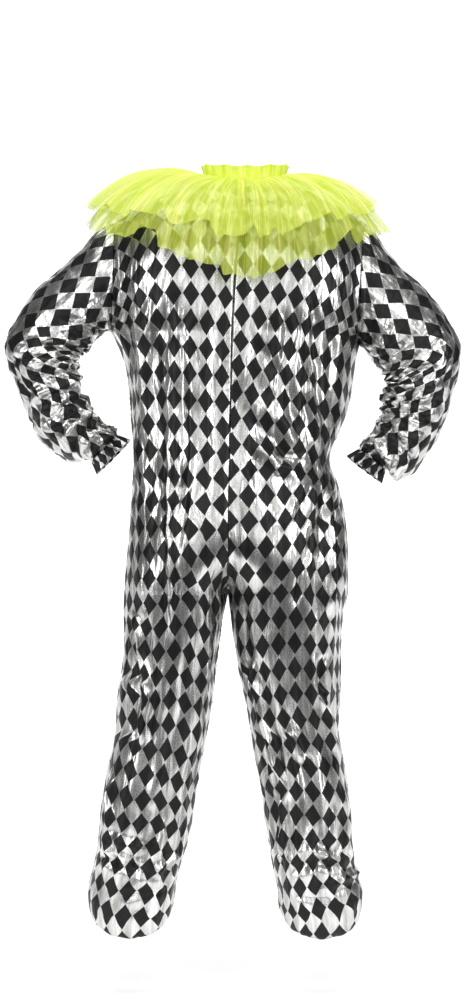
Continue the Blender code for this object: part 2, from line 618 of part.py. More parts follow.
def ankle_casing(back, front):
    """The gathered casing that holds the leg's elastic, inside the turned-in end of the leg."""
    end = np.concatenate([back[-1], front[-1]])
    low, high = end.min(axis=0), end.max(axis=0)
    middle, half = (low + high) / 2, (high - low) / 2
    rings = []
    for share in (0, 1):
        centre = middle + (0, 0, 2 * SEAM + CASING_HEIGHT * share)
        wide, deep = np.array([half[0], 0, 0]), np.array([0, half[1], 0])
        rings.append(gathered_ring(centre, wide, deep, CASING_GATHERS, CASING_WAVE, 4 * CASING_GATHERS))
    return np.array(rings)


def round_neck(panels):
    """The neckline's points, from the centre back by the right side, the front and the left to the centre back."""
    quarters = []
    for side, face in ((-1, 1), (-1, -1), (1, -1), (1, 1)):
        neck = panels[side, face][0][0, : NECK_STEPS + 1]
        quarters.append(neck[:-1] if side * face < 0 else neck[:0:-1])
    return np.concatenate(quarters + [quarters[0][:1]])


def on_neckline(ring, azimuth, out):
    """x, y and z in these directions from the neck's middle, moved out from the neckline by these distances."""
    turn = np.linspace(90, 450, len(ring))
    x, y, z = (np.interp(np.degrees(azimuth), turn, ring[:, k]) for k in range(3))
    return x + out * np.cos(azimuth), y + out * np.sin(azimuth), z + 0 * out


def round_azimuth(columns, split):
    """Directions round the neck in radians, from just past the centre back to just short of it."""
    return np.radians(np.linspace(90 + split, 450 - split, columns + 1))[None, :]


def neck_band(ring):
    """The upright band that the ruffs are sewn to, open at the centre back."""
    low = ring + (0, 0, REST_GAP + SEAM)
    low[0, 0], low[-1, 0] = -BAND_SPLIT, BAND_SPLIT
    return np.array([low + (0, 0, BAND_HEIGHT), low])


def ruff(ring, base, length_name, lift):
    """A gathered layer from the band to its hem: each strand bends evenly from its start to its hem angle.

    Waves across the strands grow towards the hem. Both layers share them, so they lie one in the other.
    """
    columns = 4 * RUFF_GATHERS
    azimuth = round_azimuth(columns, RUFF_SPLIT)
    keys = np.concatenate([RUFF["azimuth"] + turn for turn in (-360, 0, 360, 720)])
    at = {name: through(np.degrees(azimuth), keys, np.tile(column, 4)) for name, column in RUFF.items()}
    along = at[length_name] * np.linspace(0, 1, RUFF_STEPS + 1)[:, None]
    share = along / at["lower_length"]
    start = np.radians(at["start_angle"] + lift)
    bend = np.radians(at["hem_angle"] - at["start_angle"])
    slope = start + bend * share
    out = at["lower_length"] * (np.sin(slope) - np.sin(start)) / bend
    up = at["lower_length"] * (np.cos(start) - np.cos(slope)) / bend
    phase = np.linspace(0, 2 * np.pi * RUFF_GATHERS, columns + 1)[None, :] + RUFF_DRIFT * np.sin(3 * azimuth)
    tall = RUFF_WAVE * (1 + RUFF_UNEVENNESS * np.sin(5 * azimuth))
    wave = tall * np.sqrt(share) * np.sin(phase)
    x, y, z = on_neckline(ring, azimuth, REST_GAP + ORGANZA + out - wave * np.sin(slope))
    return np.stack(np.broadcast_arrays(x, y, z + base + up + wave * np.cos(slope)), axis=2)


def heading(ring):
    """The short frill that stands above the band, open at the centre back as the ruffs are."""
    columns = 4 * HEADING_GATHERS
    azimuth = round_azimuth(columns, 2 * RUFF_SPLIT)
    share = np.array([[1.0], [0.0]])
    phase = np.linspace(0, 2 * np.pi * HEADING_GATHERS, columns + 1)[None, :]
    out = HEADING_LEAN * share + HEADING_WAVE * (FRILL_START + (1 - FRILL_START) * share) * np.sin(phase)
    x, y, z = on_neckline(ring, azimuth, out)
    low = BAND_HEIGHT + 2 * REST_GAP + 2 * SEAM
    return np.stack(np.broadcast_arrays(x, y, z + low + HEADING_HEIGHT * share), axis=2)


def prism(name, profiles, material):
    """A closed solid through profiles that all have the same number of corners, with flat ends."""
    corners = len(profiles[0])
    last = (len(profiles) - 1) * corners
    faces = [
        (r + c, r + (c + 1) % corners, r + corners + (c + 1) % corners, r + corners + c)
        for r in range(0, last, corners)
        for c in range(corners)
    ]
    faces += [tuple(range(corners))[::-1], tuple(range(last, last + corners))]
    return solid(name, np.concatenate(profiles), faces, material)


def behind(panel, row, from_centre, depth_in):
    """The point this far from a panel's centre edge along one of its rows, and this deep below its face."""
    points, normals = (grid[row] for grid in panel)
    share = from_centre / np.linalg.norm(points[1] - points[0])
    inwards = (1 - share) * normals[0] + share * normals[1]
    return (1 - share) * points[0] + share * points[1] - depth_in * inwards


def zip_tape(left, right):
    """The zip: a tape behind the edges of the back panels, and its coil standing between them.

    left and right are the panels' points and normals. Returns the zip's top and the way down from it.
    """
    rows = [r for r in range(1, len(left[0])) if left[0][r, 0, 2] >= ZIP_BOTTOM_Z]
    front, back, top = CLOTH + 3 * REST_GAP, CLOTH + 3 * REST_GAP + TAPE_THICKNESS, REST_GAP
    corners = (  # panel, distance from the centre line, depth below the cloth's face
        (right, TAPE_HALF_WIDTH, front),
        (right, COIL_HALF_WIDTH, front),
        (right, COIL_HALF_WIDTH, top),
        (left, COIL_HALF_WIDTH, top),
        (left, COIL_HALF_WIDTH, front),
        (left, TAPE_HALF_WIDTH, front),
        (left, TAPE_HALF_WIDTH, back),
        (left, COIL_HALF_WIDTH, back),
        (right, COIL_HALF_WIDTH, back),
        (right, TAPE_HALF_WIDTH, back),
    )
    profiles = [np.array([behind(panel, r, out, deep) for panel, out, deep in corners]) for r in rows]
    prism("zip_tape", profiles, "black_zip")
    top, below = left[0][rows[0], 0], left[0][rows[1], 0]
    return top - (SEAM, 0, 0), below - top


def block(low, high):
    """Corners of a box from its low corner to its high one, as two profiles."""
    (x0, y0, z0), (x1, y1, z1) = low, high
    return [np.array([(x0, y0, z), (x1, y0, z), (x1, y1, z), (x0, y1, z)]) for z in (z0, z1)]


def joined(main_piece, others, operation):
    """The main piece with the others joined to it or cut from it. The others are dropped."""
    for other in others:
        change = main_piece.modifiers.new(other.name, "BOOLEAN")
        change.operation, change.object = operation, other
        other.hide_render = True
    return main_piece


def slider_and_pull(top, way):
    """The slider at the top of the zip, with its bridge, and the pull whose crossbar lies in the bridge."""
    down = way / np.linalg.norm(way)
    tilt = np.arctan2(down[1], -down[2])
    out = np.array([0, -down[2], down[1]])
    frame = bpy.data.objects.new("slider_frame", None)
    bpy.context.scene.collection.objects.link(frame)
    frame.location = top + out * SLIDER_CLEARANCE + down * SLIDER_FROM_TOP
    frame.rotation_euler = (tilt, 0, 0)
    w, n, h = SLIDER_HALF_WIDTH, SLIDER_THICKNESS, SLIDER_LENGTH
    body = prism("zip_slider", block((-w, 0, -h), (w, n, 0)), "black_metal")
    arch_top, arch_bottom = -BRIDGE_MARGIN, -h + BRIDGE_MARGIN
    arch = block((-BRIDGE_HALF_WIDTH, n / 2, arch_bottom), (BRIDGE_HALF_WIDTH, n + BRIDGE_RISE, arch_top))
    bridge = prism("bridge", arch, "black_metal")
    room = prism(
        "bridge_room",
        block((-w, n, arch_bottom + BRIDGE_POST), (w, n + BRIDGE_RISE - BRIDGE_BAR, arch_top - BRIDGE_POST)),
        "black_metal",
    )
    joined(body, [bridge], "UNION")
    joined(body, [room], "DIFFERENCE")
    half = PULL_THICKNESS / 2
    plate = block((-PULL_HALF_WIDTH, -half, half - PULL_LENGTH), (PULL_HALF_WIDTH, half, half))
    pull = prism("zip_pull", plate, "black_metal")
    hole = block((-PULL_EYE_HALF_WIDTH, -w, -PULL_EYE_LENGTH - half), (PULL_EYE_HALF_WIDTH, w, -half))
    eye = prism("pull_eye", hole, "black_metal")
    joined(pull, [eye], "DIFFERENCE")
    for piece in (body, bridge, room, pull, eye):
        piece.parent = frame
    pivot = (0, n + (BRIDGE_RISE - BRIDGE_BAR) / 2, -h / 2)
    pull.location = eye.location = pivot


def clear_scene():
    for item in list(bpy.data.objects):
        bpy.data.objects.remove(item)


def shared_normals(side, back, front, rings):
    """Outward normals of one side's panels and sleeve, the same at each seam for the pieces that meet there."""
    turned = (side < 0, side > 0, side > 0)  # so that the three grids face the same way
    grids = [grid[:, ::-1] if turn else grid for grid, turn in zip((back, front, rings), turned)]
    found = normals_of(grids, [False, False, True])
    found = [normal[:, ::-1] if turn else normal for normal, turn in zip(found, turned)]
    outward = np.sign(np.sum(found[0][:, :, 1]))
    for normal, points in ((found[0], back), (found[1], front)):
        normal *= outward
        joined_to_other_side = points[:, 0, 2] > CROTCH_Z - SEAM
        normal[joined_to_other_side, 0, 0] = 0
        normal[:, 0] /= np.linalg.norm(normal[:, 0], axis=1, keepdims=True)
    found[2] *= np.sign(np.sum(found[2] * (rings - rings.mean(axis=1, keepdims=True))))
    return found


def body_and_sleeves():
    """Panels, sleeves and their normals by side and face, made together so that their edges meet."""
    panels, sleeves = {}, {}
    for side in (1, -1):
        rings = sleeve_rings(side)
        back, front = panel(side, 1), panel(side, -1)
        back_normal, front_normal, _ = shared_normals(side, back, front, rings)
        back = folded(side, 1, back, back_normal)
        front = folded(side, -1, front, front_normal)
        back_normal, front_normal, sleeve_normal = shared_normals(side, back, front, rings)
        panels[side, 1], panels[side, -1] = (back, back_normal), (front, front_normal)
        sleeves[side] = (rings, sleeve_normal)
    return panels, sleeves


def main():
    clear_scene()
    panels, sleeves = body_and_sleeves()
    for (side, face), (points, normal) in panels.items():
        edged = moved_in(points, ("outer", "top"))
        leg = points[:, 0, 2] < CROTCH_Z + SEAM
        edged[leg, 0, 1] += face * SEAM
        if face > 0:
            edged = zip_opened(edged)
        name = ("back_" if face > 0 else "front_") + ("left" if side > 0 else "right")
        wall(name, edged, normal, CLOTH, "harlequin_foil_cloth")
    for side, word in ((1, "left"), (-1, "right")):
        rings, normal = sleeves[side]
        wall("sleeve_" + word, moved_in(rings, ("top",)), normal, CLOTH, "harlequin_foil_cloth", True)
        rings = cuff(side)
        wall("cuff_" + word, rings, ring_normals(rings), CLOTH, "harlequin_foil_cloth", True)
        rings = ankle_casing(panels[side, 1][0], panels[side, -1][0])
        wall("ankle_" + word, rings, ring_normals(rings), CASING, "harlequin_foil_cloth", True)
    ring = round_neck(panels)
    band = neck_band(ring)
    wall("neck_band", band, open_normals(band), CLOTH, "lime_organza")
    frill = heading(ring)
    wall("neck_heading", frill, open_normals(frill), ORGANZA, "lime_organza")
    lower = ruff(ring, LOWER_RUFF_Z, "lower_length", 0)
    wall("ruff_lower", lower, open_normals(lower), ORGANZA, "lime_organza")
    upper = ruff(ring, UPPER_RUFF_Z, "upper_length", RUFF_LIFT)
    wall("ruff_upper", upper, open_normals(upper), ORGANZA, "lime_organza")
    slider_and_pull(*zip_tape(panels[1, 1], panels[-1, 1]))


main()
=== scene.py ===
"""Looks of the clown jumpsuit, on its frame: creased harlequin foil, gathered cuffs, organza ruff and
zip."""

import bpy
import numpy as np
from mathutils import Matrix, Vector


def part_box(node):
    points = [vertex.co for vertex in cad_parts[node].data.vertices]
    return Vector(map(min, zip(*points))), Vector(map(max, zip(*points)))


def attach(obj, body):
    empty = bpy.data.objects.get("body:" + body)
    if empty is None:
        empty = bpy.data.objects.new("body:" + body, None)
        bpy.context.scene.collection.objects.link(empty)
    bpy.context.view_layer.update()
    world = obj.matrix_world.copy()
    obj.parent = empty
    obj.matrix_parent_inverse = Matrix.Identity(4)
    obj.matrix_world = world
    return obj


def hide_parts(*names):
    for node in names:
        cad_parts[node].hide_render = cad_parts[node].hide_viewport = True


bl_info = {
    "name": "Clown jumpsuit looks",
    "version": (1, 0, 0),
    "blender": (4, 5, 0),
    "location": "View3D > Sidebar > Jumpsuit",
    "description": "Dresses the jumpsuit's frame with creased cloth, ruffs and a studio",
    "category": "Object",
}

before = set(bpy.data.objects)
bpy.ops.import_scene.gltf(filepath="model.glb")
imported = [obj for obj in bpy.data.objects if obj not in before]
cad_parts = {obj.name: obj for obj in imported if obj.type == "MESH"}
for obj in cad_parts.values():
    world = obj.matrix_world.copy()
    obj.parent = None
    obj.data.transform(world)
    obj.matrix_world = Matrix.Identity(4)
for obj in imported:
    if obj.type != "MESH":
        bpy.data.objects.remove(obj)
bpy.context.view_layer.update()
GARMENT = "garment"


def table(names, *rows, plain=""):
    """A table as a dict of columns. Its lengths are written in millimetres and come out in metres. The
    columns named as plain are no lengths."""
    columns = dict(zip(names.split(), np.array(rows, float).T))
    return {name: column if name in plain.split() else column / 1000 for name, column in columns.items()}


# --- The cloth's course, which it shares with its solids --------------------------------------------

# x of each side's outer and inner edge, by height.
OUTLINE = table(
    "z left_out left_in right_in right_out",
    (-271, 265, 23.6, 23.6, -225), (-290, 254.5, 24.7, 24.7, -223.5), (-310, 242, 25.7, 25.7, -219),
    (-335, 232.8, 26.2, 26.2, -213.5), (-367, 227.2, 26.6, 26.6, -208.5), (-400, 223, 27.1, 27.1, -204.5),
    (-442, 219.5, 28, 28, -193.9), (-490, 215, 28.8, 28.8, -173.7), (-528, 214.1, 29.5, 29.5, -162),
    (-576, 216, 30.3, 30.3, -178.5), (-624, 219.9, 31, 31, -188.5), (-682, 224.1, 31.8, 31.8, -195.8),
    (-730, 229.1, 32.4, 32.4, -198), (-781, 231, 33, 33, -197.5), (-826, 232, 41.9, 26.9, -189.1),
    (-874, 232.5, 47.6, 20.4, -184.3), (-931, 236.8, 55.1, 10.6, -182.4), (-989, 245.2, 61.5, -1.9, -180),
    (-1046, 250.5, 71.6, -10.2, -178.5), (-1104, 260.8, 85.8, -20.7, -187.5),
    (-1162, 273.6, 97.9, -32.6, -195.5), (-1219, 281.5, 104, -38.6, -199.7),
    (-1277, 286.5, 115.2, -47.5, -205), (-1325, 294.5, 126.7, -54.5, -214),
    (-1365, 303, 135, -62.4, -225.5),
)
# How far the back and the front stand out, by height.
DEPTH = table(
    "z back front",
    (-12, 68, 52), (-45, 90, 64), (-90, 114, 86), (-150, 131, 108), (-210, 138, 124), (-271, 139, 133),
    (-355, 134, 139), (-470, 125, 140), (-560, 133, 137), (-650, 146, 131), (-720, 143, 125),
    (-781, 130, 119), (-860, 118, 111), (-960, 105, 104), (-1060, 97, 99), (-1190, 98, 90), (-1300, 95, 89),
    (-1365, 90, 89),
)
# A sleeve's outer and inner edge, its middle's y and its half depth, from the armhole to the wrist.
LEFT_SLEEVE = table(
    "outer_x outer_z inner_x inner_z mid_y half_depth",
    (253.5, -75, 260, -280.5, 0, 86), (285, -93, 266, -284, 4, 86), (318, -128, 272, -288.5, 9, 84),
    (353, -164, 279, -294, 16, 81), (386, -194, 287, -303, 24, 77), (415, -231, 295, -315, 32, 73),
    (440, -277, 306, -325, 40, 68), (452, -308, 314, -334, 45, 67), (450, -340, 315, -348, 47, 66),
    (440, -373, 313, -366, 45, 65), (423, -415, 306, -393, 38, 64), (408, -453, 294, -420, 29, 64),
    (392, -483, 280, -445, 20, 66), (368, -508, 262, -462, 12, 66), (337, -529, 250, -466, 6, 56),
    (308, -529, 247, -472.5, 2, 40), (296.5, -527.5, 246.5, -477.5, 0, 31),
    (293.5, -531, 244.5, -481, 0, 31),
)
RIGHT_SLEEVE = table(
    "outer_x outer_z inner_x inner_z mid_y half_depth",
    (-231, -75, -220.7, -302, 0, 86), (-252, -102, -228.5, -313, 4, 86), (-274, -133, -235, -324, 9, 84),
    (-301, -164, -242, -337, 16, 81), (-329, -191, -250, -350, 24, 77), (-358, -225, -259, -364, 32, 73),
    (-385, -264, -267, -375, 40, 70), (-408, -304, -274, -383, 46, 68), (-409, -335, -273, -393, 48, 67),
    (-402, -370, -269, -405, 47, 66), (-392, -409, -264, -418, 42, 65), (-379, -452, -260, -435, 36, 65),
    (-362, -494, -255, -452, 29, 66), (-339, -531, -244, -470, 22, 65), (-313, -560, -227, -488, 16, 58),
    (-288, -559, -220, -498.5, 12, 42), (-271, -544, -220.5, -504.5, 10, 31),
    (-267.5, -547.5, -217.6, -508.5, 10, 31),
)
SLEEVES = {1: LEFT_SLEEVE, -1: RIGHT_SLEEVE}
# The ruff's slopes at the band and at the hem and the lengths of its two layers, by direction: 0 degrees
# is the wearer's left and 90 the back.
RUFF = table(
    "azimuth start_angle hem_angle lower_length upper_length",
    (0, 16, -60, 262, 246), (40, -2, -72, 226, 200), (90, -24, -94, 240, 194), (140, -4, -82, 220, 186),
    (180, 3, -58, 222, 196), (225, 10, -76, 216, 186), (270, -34, -80, 210, 166), (320, 8, -62, 226, 200),
    plain="azimuth start_angle hem_angle",
)

# --- Sizes, in metres -------------------------------------------------------------------------------
# A side is 1 for the left and -1 for the right. A face is 1 for the back and -1 for the front.

NECK_HALF_WIDTH = 0.078
NECK_BACK, NECK_FRONT = 0.068, 0.064
NECK_DROP_BACK, NECK_DROP_FRONT = 0.012, 0.045
SHOULDER_TIP = {side: (rows["outer_x"][0], rows["outer_z"][0]) for side, rows in SLEEVES.items()}
SHOULDER_CURVE = 1.35
ARMPIT_Z = {side: rows["inner_z"][0] for side, rows in SLEEVES.items()}
ARMHOLE_HALF_DEPTH, ARMHOLE_BOW = LEFT_SLEEVE["half_depth"][0], 0.009
CHEST_Z, SEAT_Z, CROTCH_Z = -0.291, -0.600, -0.781
LEG_END_Z = OUTLINE["z"][-1]
TURN_DOWN, TURN_IN, TURN_UP = 0.055, 0.016, 0.045
HEM_START_Z = -1.25
HEM_BACK, HEM_SIDE, HEM_FRONT = -0.009, 0.020, 0.010
BODY_ROUNDNESS = 2.35
PANEL_NAMES = {(1, 1): "back_left", (-1, 1): "back_right", (1, -1): "front_left", (-1, -1): "front_right"}
ZIP_BOTTOM_Z, ZIP_GAP, ZIP_GAP_EASE, ZIP_GAP_REACH = -0.484, 0.0010, 0.02, 0.008

# Points of the grids.
YOKE_ROWS, TORSO_ROWS, FORK_ROWS, LEG_ROWS, TURN_ROWS, PANEL_COLUMNS = 48, 64, 50, 126, 22, 92
SLEEVE_ROWS, SLEEVE_COLUMNS = 256, 140
BAND_ROWS, BAND_COLUMNS = 8, 260
NOISE_ROWS = 128

# The grain line follows the leg's middle below this height and stands upright above it. Gathers are
# evened over this many columns each way.
GRAIN_TOP_Z = -0.83
GATHER_REACH = 6
# Each half of an arm: how far it slopes, in degrees, and how far it turns back. Then the elbow's place
# and where the halves' maps pass into each other, as shares of the rows, and how much of its gathers the
# print takes.
ARM_WAYS = (-39.0, 0.16), (-124.0, -0.16)
ELBOW, ELBOW_START, ELBOW_END = 0.43, 0.30, 0.56
ARM_GATHER = 0.6

# The seams: over what part of a panel its normals turn to meet its neighbour's, how far creases fade to
# them, and the height, place and half width of the soft ridge, the stitches' puckers and the sink along
# them.
SEAM_BLEND = 1 / 12
CENTRE_FADE, YOKE_FADE, TOP_FADE, PUFF_TOP_FADE = 0.014, 0.020, 0.12, 0.1
SIDE_FADE = 0.001, 0.018
SEAM_PUFF = 0.0010, 0.009, 0.006
SEAM_PUCKER, PUCKER_LENGTH, PUCKER_DRIFT = (0.0006, 0.006, 0.005), 0.0021, 0.017
SEAM_SINK = -0.0004, 0, 0.0025
SLEEVE_PUFF = 0.0022, 0.014, 0.009
ARMHOLE_FADE, WRIST_FADE, ARMHOLE_BLEND = 0.022, 0.02, 0.06

CUFF_LENGTH, CUFF_FLARE, CUFF_GATHERS, CUFF_WAVE = 0.024, 0.006, 13, 0.0055
CASING_HEIGHT, CASING_GATHERS, CASING_WAVE = 0.014, 12, 0.0016
GATHERED_FULLNESS = 1.5

NECK_SPLIT, RUFF_SPLIT = 0.1, 0.02
BAND_HEIGHT, BAND_RISE, BAND_INSET, BAND_RIPPLE, BAND_RIPPLES = 0.016, 0.0005, 0.0004, 0.0006, 150
HEADING_HEIGHT, HEADING_RISE, HEADING_TUCK = 0.020, 0.0009, 0.22
HEADING_OUT, HEADING_LEAN, HEADING_GATHERS = 0.0004, 0.004, 22
HEADING_WAVE, HEADING_FINE_WAVE = 0.0027, 0.0008
LOWER_RUFF_Z, UPPER_RUFF_Z, RUFF_LIFT, RUFF_OUT = 0.0052, 0.0125, 5.0, 0.0013
RUFF_GATHERS, RUFF_UNEVENNESS, RUFF_WAVER, RUFF_DRIFT = 26, 0.3, 0.35, 0.5
RUFF_PLEATS, RUFF_PLEAT, RUFF_FINE_PLEATS, RUFF_FINE_PLEAT = 62, 0.0026, 140, 0.0006
# The points of the ruff's hem: how many, how much of each is its long side, and their depth and lift, as
# shares of a strand. Then its small nicks and their depth.
RUFF_TIPS, TIP_LONG_SIDE, TIP_DEPTH, TIP_LIFT = 15, 0.82, 0.17, 0.02
RUFF_NICKS, NICK_DEPTH = 53, 0.035

# The stage.
FLOOR_FRONT_Y, FLOOR_HALF_WIDTH, WALL_Y, WALL_HEIGHT, SWEEP_RADIUS = 0.9, 10.0, -9.0, 8.0, 1.5
CAMERA_X, CAMERA_Z, SENSOR_WIDTH = 0.0221, -0.605, 36.0

# --- Creases ----------------------------------------------------------------------------------------

# How far a crease wanders, as a share of its width, and how fast; its tapers, as shares of its length;
# how much and over what length its height swings; and the lesser folds beside it: their share of its
# height, and their place. Then the height and rounding of noise that is folded.
CREASE_WANDER, CREASE_TWIST = 0.3, 0.55
CREASE_START, CREASE_END = 0.22, 0.25
CREASE_SWING, CREASE_BEAT = 0.15, 0.031
CREASE_TROUGH, CREASE_BESIDE = 0.3, 1.9
FOLD_HEIGHT, FOLD_ROUNDING = 2.6, 0.004

# Creases of the body on one face: each runs from one x and z to another and bends this far to one side at
# its middle. height is how far the cloth stands out (+) or sinks in (-), width half the crease's width,
# and lean how far it rolls over to one side.
BODY_CREASES = table(
    "face x_a z_a x_b z_b bend height width lean",
    # long tuck on the left back
    (1, 132, -236, 138, -494, 0, 5.5, 7, -1.4), (1, 138, -430, 136, -891, 0, 8.5, 6.5, -1.9),
    # soft falls
    (1, 189, -273, 197, -808, 1.9, 4.5, 11, 0), (1, 162, -227, 167, -716, -1.9, -3.5, 10, 0.3),
    (1, 99, -273, 104, -790, 1.9, 3.5, 10, 0.3), (1, 69, -217, 67, -679, 0, -3, 9, 0),
    (1, 224, -236, 208, -513, 1.9, -5, 10, 0), (1, 206, -166, 182, -476, 3.8, 4, 10, 0.4),
    # right back
    (1, -106, -236, -134, -516, 3.8, 10.5, 8, 2), (1, -71, -236, -106, -550, 3.8, -4, 10, 0),
    (1, -30, -236, -56, -642, 3.8, 3.5, 11, 0.3), (1, -158, -236, -162, -494, 0, -4.5, 9, 0.3),
    (1, 1, -457, -3, -734, 0, 3, 10, 0),
    # broad swells drawn towards the right hip
    (1, -20, -300, -100, -440, 4, -5, 12, 0), (1, -12, -405, -118, -515, 4, 6.2, 14, 0.3),
    (1, -4, -450, -112, -545, 4, -5.5, 12, 0), (1, 0, -500, -112, -562, 4, 6, 13, 0.3),
    (1, 52, -280, 58, -600, 2, 5, 16, 0), (1, 118, -330, 112, -700, 2, -4.5, 15, 0),
    # right hip
    (1, -141, -564, -95, -771, 3.8, 8.4, 7.5, -1.2), (1, -149, -568, -127, -863, 3.8, -7.2, 8, 0.5),
    (1, -158, -576, -158, -873, -1.9, 8.4, 6.5, 1.5), (1, -169, -587, -184, -827, 1.9, -7.2, 8, 0),
    (1, -110, -688, -88, -812, 1.9, -7.8, 7, 0.8), (1, -134, -550, -56, -670, 5.7, 5.2, 9, 0.4),
    (1, -130, -535, -45, -550, 5.7, 4.6, 9, 0.4),
    # seat
    (1, 32, -679, 36, -812, 0, -5.2, 8, 0.5), (1, 43, -771, 78, -974, 1.9, 5.9, 8, -0.8),
    (1, 10, -790, -12, -956, -3.8, -5.9, 8, 0),
    # right leg
    (1, -12, -891, -75, -1153, 3.8, 12.3, 7, -2), (1, -75, -1140, -80, -1292, 3.8, 10.4, 6.5, -1.9),
    (1, -149, -891, -141, -974, 3.8, -7.2, 8, 0.8), (1, -141, -959, -180, -1113, 1.9, 8.1, 7, 1.4),
    (1, -101, -863, -123, -1214, 1.9, -4.6, 12, 0), (1, -42, -863, -101, -1196, -3.8, 4.6, 11, 0),
    (1, -84, -1039, -110, -1094, 0, 7.2, 6, -1.2), (1, -156, -1159, -167, -1343, 1.9, -5.9, 9, 0.4),
    (1, -123, -1196, -119, -1353, -3.8, 5.9, 9, 0.4), (1, -184, -1140, -197, -1306, 0, 5.9, 8, 0.4),
    # left leg
    (1, 206, -812, 184, -956, -3.8, 11.4, 7, -1.9), (1, 182, -945, 197, -1067, -1.9, 11.1, 7, -1.8),
    (1, 248, -1113, 261, -1321, 3.8, 8.1, 6.5, -1.5), (1, 102, -845, 143, -1214, 3.8, -5.2, 12, 0.3),
    (1, 149, -863, 172, -1214, 1.9, 5.2, 11, 0), (1, 71, -863, 102, -1122, 1.9, 5.9, 9, 0.6),
    (1, 75, -1103, 110, -1306, -3.8, -6.5, 8, 0.4), (1, 204, -1159, 217, -1343, 1.9, -5.9, 9, 0),
    (1, 158, -1196, 172, -1353, -1.9, 6.5, 8, 0.6),
    # slack at the left hem
    (1, 283, -1281, 176, -1314, -9.5, -7.8, 8.5, 0.8), (1, 269, -1244, 184, -1266, -7.6, 6.5, 8.5, 0.4),
    (1, 176, -1303, 117, -1273, -5.7, 7.2, 8, -0.6), (1, 235, -1347, 143, -1340, -3.8, -6.5, 7.5, 0),
    # slack at the right hem
    (1, -79, -1306, -184, -1292, -11.4, -7.8, 8.5, 0.8), (1, -93, -1266, -167, -1277, -7.6, 6.5, 8.5, 0.4),
    (1, -156, -1329, -223, -1306, -3.8, 7.2, 8, -0.6), (1, -86, -1347, -165, -1351, -3.8, -6.5, 7.5, 0),
    # front
    (-1, 120, -240, 128, -880, 2, -5, 9.5, 0.8), (-1, 170, -260, 180, -700, 0, 4.8, 10, 0),
    (-1, 70, -220, 74, -640, 2, 3.8, 10, -0.3), (-1, 206, -300, 186, -520, 0, -4.5, 9, 0),
    (-1, -85, -230, -100, -760, 2, -4.8, 9.5, -0.6), (-1, -130, -250, -140, -520, 0, 5.5, 9, 1),
    (-1, -178, -300, -172, -500, 0, -4.5, 9, 0), (-1, -45, -260, -50, -600, 2, 3.5, 10, 0),
    (-1, -150, -560, -105, -780, 3, 6, 8, -1.2), (-1, -165, -560, -150, -860, 2, -5.5, 8, 0.6),
    (-1, 50, -700, 80, -860, -4, 4.5, 9, 0.6), (-1, -10, -700, -40, -860, 4, -4.5, 9, 0.6),
    (-1, 100, -900, 160, -1200, 3, 5.5, 8.5, 1.2), (-1, 160, -880, 190, -1240, 0, -4.2, 11, 0),
    (-1, 210, -940, 240, -1260, 0, 4.5, 9.5, 0.4), (-1, -45, -900, -110, -1220, 3, 5.5, 8.5, -1.2),
    (-1, -100, -900, -130, -1230, 0, -4.2, 11, 0), (-1, -150, -920, -175, -1240, 2, 4.5, 9.5, -0.4),
    (-1, 280, -1280, 180, -1305, -8, -5.8, 8.5, 0.8), (-1, 262, -1250, 190, -1262, -6, 4.8, 8.5, 0.4),
    (-1, -85, -1300, -190, -1285, -8, -5.8, 8.5, 0.8), (-1, -100, -1262, -170, -1270, -6, 4.8, 8.5, 0.4),
    plain="face lean",
)
# How far the print is drawn to the wearer's left and up the cloth, by height, at a panel's inner edge,
# its middle and its side seam.
PULL_COLUMNS = "z across_in across_mid across_out down_in down_mid down_out"
PRINT_PULLS = {
    1: table(
        PULL_COLUMNS,
        (-200, 10, 4, -16, -12, 15, 24), (-260, 8, 5, -6, -2, 14, 15), (-340, 9, 8, 3, 4, 13, 10),
        (-440, 10, 7, 9, 6, 13, 12), (-540, 15, 8, 4, 9, 14, 13), (-660, 15, 10, 5, 11, 15, 15),
        (-780, 9, 10, 10, 12, 14, 21), (-880, 4, 9, 12, 19, 16, 28), (-980, 11, 12, 12, 27, 21, 35),
        (-1080, 19, 20, 17, 34, 23, 34), (-1180, 32, 27, 19, 35, 26, 39), (-1280, 36, 20, 19, 42, 39, 45),
    ),
    -1: table(
        PULL_COLUMNS,
        (-200, 8, 17, 28, -10, -7, 2), (-260, 4, 9, 15, -1, -10, -22), (-340, -3, 0, 6, 8, -12, -35),
        (-440, -14, -11, 0, 9, -8, -31), (-540, -22, -10, -7, 8, 0, -17), (-660, -23, -9, -17, 10, 3, -2),
        (-780, -25, -16, -25, 12, 5, 7), (-880, -25, -21, -30, 16, 6, 12), (-980, -25, -25, -31, 25, 9, 15),
        (-1080, -24, -15, -19, 40, 13, 15), (-1180, -22, -21, -13, 45, 20, 18),
        (-1280, -24, -32, -16, 34, 27, 27),
    ),
}
# How far the print is drawn round each sleeve on its back, how much more at the underarm than there, and
# how far down the sleeve, by the distance down it.
SLEEVE_PULLS = {
    1: table("at across more down", (0, 10, 17, 10), (60, 11, 13, 10), (120, 13, 16, 11), (180, 19, 5, 11)),
    -1: table("at across more down", (0, -11, 18, 2), (60, -9, 11, 2), (120, -8, 13, 4), (180, 0, 5, 1)),
}
